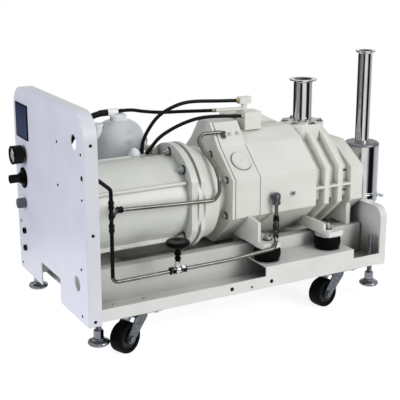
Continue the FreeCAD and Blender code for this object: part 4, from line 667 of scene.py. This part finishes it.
def tube_fittings():
    """Unions and tee of the riser, filter by the casing and the end fittings of the stainless tubes."""
    x, y = riser_at
    tee = turned(superellipse(0, 0, 6.6, 10, 0.6)[8:25] * (-1, 1), 32)
    branch = together(hexagonal(13, 9, True), moved(hexagonal(12, 8, True), (0, 0, 11)))
    slant = np.array((44, 66, 16))
    dark = [moved(union(12, 20, 6.0), (x, y, z)) for z in (318, 372)]
    dark += [moved(tee, (x, y, 346)), aimed(branch, (35, 54, -8), (x + 4, y + 5, 345)),
             aimed(union(15, 16, 7.2), FRONT, (112, 70, 338))]
    dark += [aimed(union(13, 20, 6.4), slant, (507, 8, 224) + share * slant) for share in (0.15, 0.55)]
    dark += [aimed(union(13, 20, 6.4), FRONT, (10, 16, 440)), moved(union(14, 40, 6.8), (*filter_at, 238))]
    obj = piece("tube_unions", together(*dark), "pump", blackened_steel)
    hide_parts("tube_fittings")
    body = turned(((0, 286), (7, 286), (10.5, 288), (10.5, 297), (9.2, 298), (9.2, 300), (10.5, 301),
                   (10.5, 312), (9.5, 314), (7, 314), (7, 318), (0, 318)), 40)
    stub = together(hexagonal(13, 7), turned(((0, 7), (5, 7), (5, 16), (0, 16)), 24))
    body = together(body, aimed(stub, NEAR, (0, 16, 305)))
    end = together(hexagonal(12, 9, True), moved(hexagonal(10, 7, True), (0, 0, 11)))
    piece("tube_filter", together(moved(body, (*filter_at, 0)), moved(end, (456, 182, 450))), "pump",
          zinc_steel)


def flow_valve():
    """Valve on the lower tube: two bright nuts with black seals about a body, and a bonnet."""
    seal = turned(superellipse(7.2, 0, 1.8, 1.3, 0.8, 17), 40)
    seals = together(*(aimed(seal, FRONT, (x, 0, 0)) for x in (-20, -7, 7, 20)))
    nuts = together(*(aimed(hexagonal(17, 11, True), FRONT, (x, 0, 0)) for x in (-18.8, 7.8)))
    body = together(aimed(turned(((0, -7), (7.5, -7), (8.5, -5), (8.5, 5), (7.5, 7), (0, 7)), 40), FRONT),
                    moved(hexagonal(13, 8, True), (0, 0, 8)),
                    turned(((0, 6), (5, 6), (5, 19), (7.5, 19.5), (7.5, 22.4), (0, 22.4)), 32))
    obj = piece("valve_nuts", moved(together(nuts, body), valve_at), "pump", polished_steel)
    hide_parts("flow_valve_body")
    piece("valve_seals", moved(seals, valve_at), "pump", mount_rubber)


def valve_knob():
    """Bell-shaped hand knob: its side swells from neck to rim as a half cosine, over a ringed stem."""
    t = np.linspace(0, 1, 13)
    side = np.column_stack((9 + 20 * (0.5 - 0.5 * np.cos(t * math.pi)) ** 0.75, 237 + 19 * t))
    r = np.linspace(0, math.pi / 2, 7)
    rim = np.column_stack((25 + 4 * np.cos(r), 257.5 + 4.4 * np.sin(r)))
    stem = ((0, 212.3), (6, 212.3), (6, 216), (8, 217), (8, 220), (6, 221), (6, 227), (8.5, 228.5),
            (8.5, 232), (6.5, 234))
    knob = turned(np.vstack((stem, side, rim, (10, 262), (8, 261), (0, 261))), 72)
    obj = piece("valve_knob", moved(knob, (*valve_at[:2], 0)), "flow_valve_knob",
                gloss_phenolic)
    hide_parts("flow_valve_handle")


# Panel instruments

def plate_ring(y, z, half_y, half_z, corner, count=8):
    """Outline of a rectangle with round corners in the plane across X, as (y, z) rows."""
    t = np.linspace(0, math.pi / 2, count)
    quarter = np.column_stack((half_y - corner + corner * np.cos(t), half_z - corner + corner * np.sin(t)))
    left = quarter[::-1] * (-1, 1)
    return np.vstack((quarter, left, -quarter, -left)) + (y, z)


def display():
    """Glass pane of the display, slightly cushioned: each ring of its outline shrinks as the face rises."""
    y, z = display_at
    rings = [np.column_stack((np.full(32, x), plate_ring(y, z, 39 - inset, 40.5 - inset, 2)))
             for inset, x in ((0, -2.4), (0, -2.75), (0.5, -3.0))]
    centre = np.tile((-3.0, y, z), (32, 1))
    back = np.tile((-2.4, y, z), (32, 1))
    piece("display_pane", skin(np.stack((back, *rings, centre))), "pump", screen_glass, 15)


def gauge():
    """Dial with its ticks over three quarters of a turn, and the glass in front of it."""
    y, z = gauge_at
    dial = aimed(turned(((0, 0), (20.8, 0), (20.8, 0.3), (0, 0.3)), 64), BACK, (-27, y, z))
    piece("gauge_dial", dial, "pump", dial_enamel)
    ticks = 31
    turns = np.radians(np.linspace(-135, 135, ticks))
    long = np.arange(ticks) % 5 == 0
    inner, outer, half = np.where(long, 14.5, 16.8), 19.0, np.where(long, 0.55, 0.3)
    along = np.column_stack((np.sin(turns), np.cos(turns)))
    across = np.column_stack((np.cos(turns), -np.sin(turns)))
    foot, tip, side = along * inner[:, None], along * outer, across * half[:, None]
    corners = np.stack((foot - side, tip - side, tip + side, foot + side), axis=1)
    rings = [np.dstack((np.full((ticks, 4, 1), x), corners + (y, z))) for x in (-27.25, -27.42)]
    low = np.arange(4 * ticks).reshape(ticks, 4)
    high = low + 4 * ticks
    sides = np.stack((low, np.roll(low, -1, 1), np.roll(high, -1, 1), high), axis=-1)
    faces = np.concatenate((low[:, ::-1], high, sides.reshape(-1, 4)))
    points = np.concatenate([ring.reshape(-1, 3) for ring in rings])
    piece("gauge_ticks", (points, faces), "pump", black_nylon)
    glass = aimed(turned(((0, 0), (20.9, 0), (20.9, 0.8), (0, 1.4)), 64), BACK, (-30.6, y, z))
    piece("gauge_glass", glass, "pump", gauge_glass)
    rim = aimed(turned(superellipse(22.1, 0, 1.9, 1.6, 0.8, 21), 72), BACK, (-32.6, y, z))
    piece("gauge_rim", rim, "pump", gloss_phenolic)


def regulator():
    """Trumpet foot of the regulator: its radius grows with the height above the panel to a power."""
    t = np.linspace(0, 1, 15)
    flare = np.column_stack((27 - 14.5 * t ** 0.45, 2.2 + 11.6 * t))
    body = turned(np.vstack(((0, -12), (11, -12), (11, 0), (26.6, 0), (27, 1), flare, (0, 13.8))), 64)
    obj = piece("regulator_flare", aimed(body, BACK, (0, *regulator_at)), "pump",
                gloss_phenolic)
    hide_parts("regulator_body")


# Trims of tank, silencer, gear case and motor

def tank_trims():
    """Weld bead of the tank, its cap and the motor's breather in white, and the ring and screws of the
    sight port."""
    piece("tank_trims", moved(bead(tank_r, 196, 1.2, 2.0), (*tank_at, 0)), "pump", tank_enamel)
    cap = turned(((0, 482), (23, 482), (23, 485), (21.5, 494), (21.5, 496.5), (16, 500), (0, 500)), 48)
    breather = turned(((0, 0), (15, 0), (16, 2), (16, 11), (11, 20), (5, 25), (0, 26)), 40)
    caps = together(moved(cap, (*tank_at, 0)), moved(breather, breather_at))
    piece("white_caps", caps, "pump", fitting_enamel)
    aim = np.array((math.cos(sight_port_turn), math.sin(sight_port_turn), 0))
    ring = turned(superellipse(11.5, 0, 2.6, 1.6, 0.7, 21), 48)
    around = np.linspace(0, TURN, 6, endpoint=False)
    screw_at = np.column_stack((11.5 * np.cos(around), 11.5 * np.sin(around), 1.4 + 0 * around))
    port = together(ring, copies(dome_head(1.5, 1.0, 0.6), screw_at))
    centre = np.array((*tank_at, sight_port_z)) + aim * (tank_r + 8.6)
    piece("sight_port_ring", aimed(port, aim, centre), "pump", bolt_steel)


def silencer_trims():
    """Clamp band of the silencer with its lug and bolt, and the weld bead above it."""
    band = turned(((49.1, 222), (50.3, 222), (50.6, 222.6), (50.6, 241.4), (50.3, 242), (49.1, 242),
                   (49.1, 222)), 96)
    lug = together(turned(((0, 0), (5, 0), (5, 12), (0, 12)), 24), moved(bolt(10, 5, 3, 4), (0, 0, 12)))
    lug = aimed(lug, (0.5, -0.87, 0), (41, -24, 232))
    seam = bead(silencer_r, 246, 0.6, 1.2, 96)
    trims = moved(together(band, lug, seam), (exhaust_x, drive_y, 0))
    piece("silencer_trims", trims, "pump", polished_steel)


def gear_case_trims():
    """Plugs on the slope of the gear case, and the gasket, rim and hub of its inspection cover."""
    slope = (0, -0.793, 0.609)
    plug = together(turned(((0, -2), (5.6, -2), (5.6, 0.8), (0, 0.8)), 32), hexagonal(8, 4))
    plugs = together(*(aimed(plug, slope, (x, 186, 457)) for x in (477, 499)))
    piece("case_plugs", plugs, "pump", bolt_steel)
    lid = together(turned(((20.5, 3.6), (20.5, 4.6), (21, 5), (25.4, 5), (26, 4.4), (26, 3.6),
                           (20.5, 3.6)), 64),
                   turned(((0, 3.6), (5, 3.6), (5, 4.8), (4.4, 5.2), (0, 5.2)), 32))
    ring = turned(((26.4, 0), (26.4, 0.5), (28.6, 0.5), (28.6, 0), (26.4, 0)), 64)
    way, centre = (0, -0.677, 0.736), (478, 130, 397.8)
    piece("cover_gasket", aimed(ring, way, centre), "pump", gasket_sheet)
    piece("cover_rim", aimed(lid, way, centre), "pump", casing_enamel)


def case_gasket():
    """Edge of the gasket between gear case and rotor casing: a strip along the front and rear outline."""
    side = np.array([(185, 176), (90, 261), (90, 361), (165, 430)], float)
    strip = np.array([(511.2, 0.0), (511.2, 0.4), (512.8, 0.4), (512.8, 0.0)])
    out = np.array([(-0.6, -0.8), (-0.94, -0.35), (-0.94, 0.34), (-0.6, 0.8)])
    x, rise = strip[:, 0], strip[:, 1] - 0.3
    rows = [np.column_stack((x, y + a * rise * 1.1, z + b * rise * 1.1))
            for (y, z), (a, b) in zip(side, out)]
    piece("case_gasket", both_sides(skin(np.stack(rows))), "pump", gasket_sheet)


def motor_beads():
    """Round crests of the motor's four ribs: half an ellipse carried along the motor."""
    t = np.linspace(-0.5, math.pi + 0.5, 13)
    x = np.array((47.0, 49.0, 305.0, 307.0))[:, None]
    size = np.array((0.3, 1, 1, 0.3))[:, None]
    out, side = 112.4 + 4.2 * size * np.sin(t), 4.4 * size * np.cos(t)
    parts = []
    for degrees in (60, 150, 240, 330):
        a = math.radians(degrees)
        y, z = out * math.cos(a) - side * math.sin(a), out * math.sin(a) + side * math.cos(a)
        parts.append(skin(np.stack((x + 0 * y, drive_y + y, axis_z + z), axis=-1), wrap=False))
    piece("motor_beads", together(*parts), "pump", motor_enamel)


# Stage, lamps and camera

def floor():
    """Plain white floor that keeps a soft shadow. It ends close round the pump, so that pipes and
    cans mirror the walls beyond it."""
    along, across = np.linspace(-0.9, 0.85, 9), np.linspace(-0.62, 0.62, 9)
    grid = np.stack(np.meshgrid(along, across, indexing="ij") + [np.zeros((9, 9))], axis=-1)
    points, faces = skin(grid, wrap=False)
    mesh = bpy.data.meshes.new("floor")
    mesh.from_pydata(points.tolist(), [], faces.tolist())
    obj = bpy.data.objects.new("floor", mesh)
    bpy.context.scene.collection.objects.link(obj)
    material = bpy.data.materials.new("pale_floor")
    material.use_nodes = True
    tree = material.node_tree
    tree.nodes.clear()
    matt = add(tree, "ShaderNodeBsdfDiffuse", {"Color": linear("#E6E6E4")})
    half = add(tree, "ShaderNodeBsdfDiffuse", {"Color": linear("#A8A8A8")})
    white = add(tree, "ShaderNodeEmission", {"Color": (1, 1, 1, 1), "Strength": 0.82})
    seen = add(tree, "ShaderNodeAddShader", {0: half, 1: white})
    path = add(tree, "ShaderNodeLightPath")
    direct = add(tree, "ShaderNodeMath", {0: path.outputs["Is Camera Ray"], 1: path.outputs["Is Glossy Ray"]},
                 operation="MAXIMUM")
    any_seen = add(tree, "ShaderNodeMath", {0: direct, 1: path.outputs["Is Transmission Ray"]},
                   operation="MAXIMUM")
    both = add(tree, "ShaderNodeMixShader", {"Fac": any_seen, 1: matt, 2: seen})
    add(tree, "ShaderNodeOutputMaterial", {"Surface": both})
    mesh.materials.append(material)


def world():
    """White background for the eye and soft light all round; metal sees studio walls with darker gaps."""
    sky = bpy.data.worlds.new("studio")
    sky.use_nodes = True
    bpy.context.scene.world = sky
    tree = sky.node_tree
    tree.nodes.clear()
    way = add(tree, "ShaderNodeTexCoord").outputs["Generated"]
    round_way = add(tree, "ShaderNodeTexGradient", {"Vector": way}, gradient_type="RADIAL")
    walls = add(tree, "ShaderNodeValToRGB", {"Fac": round_way.outputs["Fac"]}, (
        (0.0, "#A0A2A6"), (0.05, "#808286"), (0.088, "#0A0B0D"), (0.125, "#0A0B0D"), (0.16, "#FFFFFF"),
        (0.25, "#FFFFFF"), (0.3, "#18191C"), (0.385, "#0A0B0D"), (0.42, "#C4C8D2"), (0.6, "#F0F0F2"),
        (0.68, "#E0E2E6"), (0.72, "#2C2E32"), (0.86, "#2C2E32"), (0.92, "#7C7E82"),
    ))
    height = add(tree, "ShaderNodeSeparateXYZ", {"Vector": way}).outputs["Z"]
    up = add(tree, "ShaderNodeMapRange", {"Value": height, "From Min": 0.1, "From Max": 0.35})
    room = add(tree, "ShaderNodeMix", {"Factor": up, 6: walls, 7: linear("#F0F0F0")}, data_type="RGBA")
    path = add(tree, "ShaderNodeLightPath")
    lit = add(tree, "ShaderNodeBackground", {"Color": linear("#F4F6FA"), "Strength": 0.42})
    seen = add(tree, "ShaderNodeBackground", {"Color": (1, 1, 1, 1), "Strength": 1.0})
    mirrored = add(tree, "ShaderNodeBackground", {"Color": room.outputs[2], "Strength": 1.0})
    glossy = add(tree, "ShaderNodeMixShader", {"Fac": path.outputs["Is Glossy Ray"], 1: lit, 2: mirrored})
    clear = add(tree, "ShaderNodeMixShader", {"Fac": path.outputs["Is Transmission Ray"], 1: glossy, 2: seen})
    both = add(tree, "ShaderNodeMixShader", {"Fac": path.outputs["Is Camera Ray"], 1: clear, 2: seen})
    add(tree, "ShaderNodeOutputWorld", {"Surface": both})


def lamp(name, at, aim, size, power, colour="#FFFFFF", mirrored=True):
    """Square soft lamp that looks at a point, seen in bright metal or not."""
    light = bpy.data.lights.new(name, "AREA")
    light.shape = "SQUARE"
    light.size = size
    light.energy = power
    light.color = linear(colour)[:3]
    obj = bpy.data.objects.new(name, light)
    obj.location = at
    obj.visible_glossy = mirrored
    obj.rotation_euler = (Vector(aim) - Vector(at)).to_track_quat("-Z", "Y").to_euler()
    bpy.context.scene.collection.objects.link(obj)


def lamps():
    """Key lamp to the right of the camera, a weak one above, a strong bluish one to the left, a small
    low fill, and one behind. Bright metal mirrors the first two only."""
    middle = (0.0, 0.0, 0.3)
    lamp("key", (1.3, -2.8, 1.6), middle, 1.6, 46.0)
    lamp("top", (0.1, 0.3, 2.8), middle, 2.2, 6.0)
    lamp("left", (-3.0, -0.6, 1.2), middle, 1.6, 60.0, "#ECEEFF", False)
    lamp("low", (0.7, -2.4, 0.3), middle, 0.6, 11.0, mirrored=False)
    lamp("back", (0.6, 3.0, 0.9), middle, 1.6, 24.0, mirrored=False)


def camera():
    """Camera at the photograph's place: left of the pump and above it, with a short telephoto lens."""
    data = bpy.data.cameras.new("camera")
    data.sensor_width = 36.0
    data.lens = 85.55
    data.shift_y = -0.07
    obj = bpy.data.objects.new("camera", data)
    turn, down = 0.5043, 0.2553
    obj.location = (-1.2083, -2.0937, 0.9799)
    obj.rotation_euler = (math.pi / 2 - down, 0.0, -turn)
    bpy.context.scene.collection.objects.link(obj)
    bpy.context.scene.camera = obj


bpy.context.scene.view_settings.view_transform = "Standard"
camera()
world()
lamps()
floor()
finish_nodes()
# Painted reflection: the riser part of the lower tube takes blackened steel to stand for the dark
# surroundings its chrome mirrors.
second_finish("lower_tube", blackened_steel, lambda x, y, z: (x < 75) & (z > 200))
second_finish("inlet_nozzle", casing_enamel,
              lambda x, y, z: (z < 459) & (np.hypot(x - inlet_x, y - pump_y) > inlet_r + 1))
second_finish("inlet_nozzle", dull_steel,
              lambda x, y, z: (z > 480) & (np.hypot(x - inlet_x, y - pump_y) < inlet_r - 0.6))
second_finish("exhaust_silencer", dull_steel,
              lambda x, y, z: (z > 370) & (z < 400) & (np.hypot(x - exhaust_x, y - drive_y) > 25))
# Painted reflection: the left end of the upper tube takes blackened steel for the same dark mirrored
# surroundings.
second_finish("upper_tube", blackened_steel, lambda x, y, z: x < 104)
for hose_name, (hose_r, hose_length, hose_route) in hose_routes.items():
    hose(hose_name, hose_r, hose_length, hose_route)
hose_ends()
machine_bolts()
sheet_screws()
castors()
levelling_feet()
rubber_mounts()
tube_fittings()
flow_valve()
valve_knob()
display()
gauge()
regulator()
tank_trims()
silencer_trims()
gear_case_trims()
case_gasket()
motor_beads()
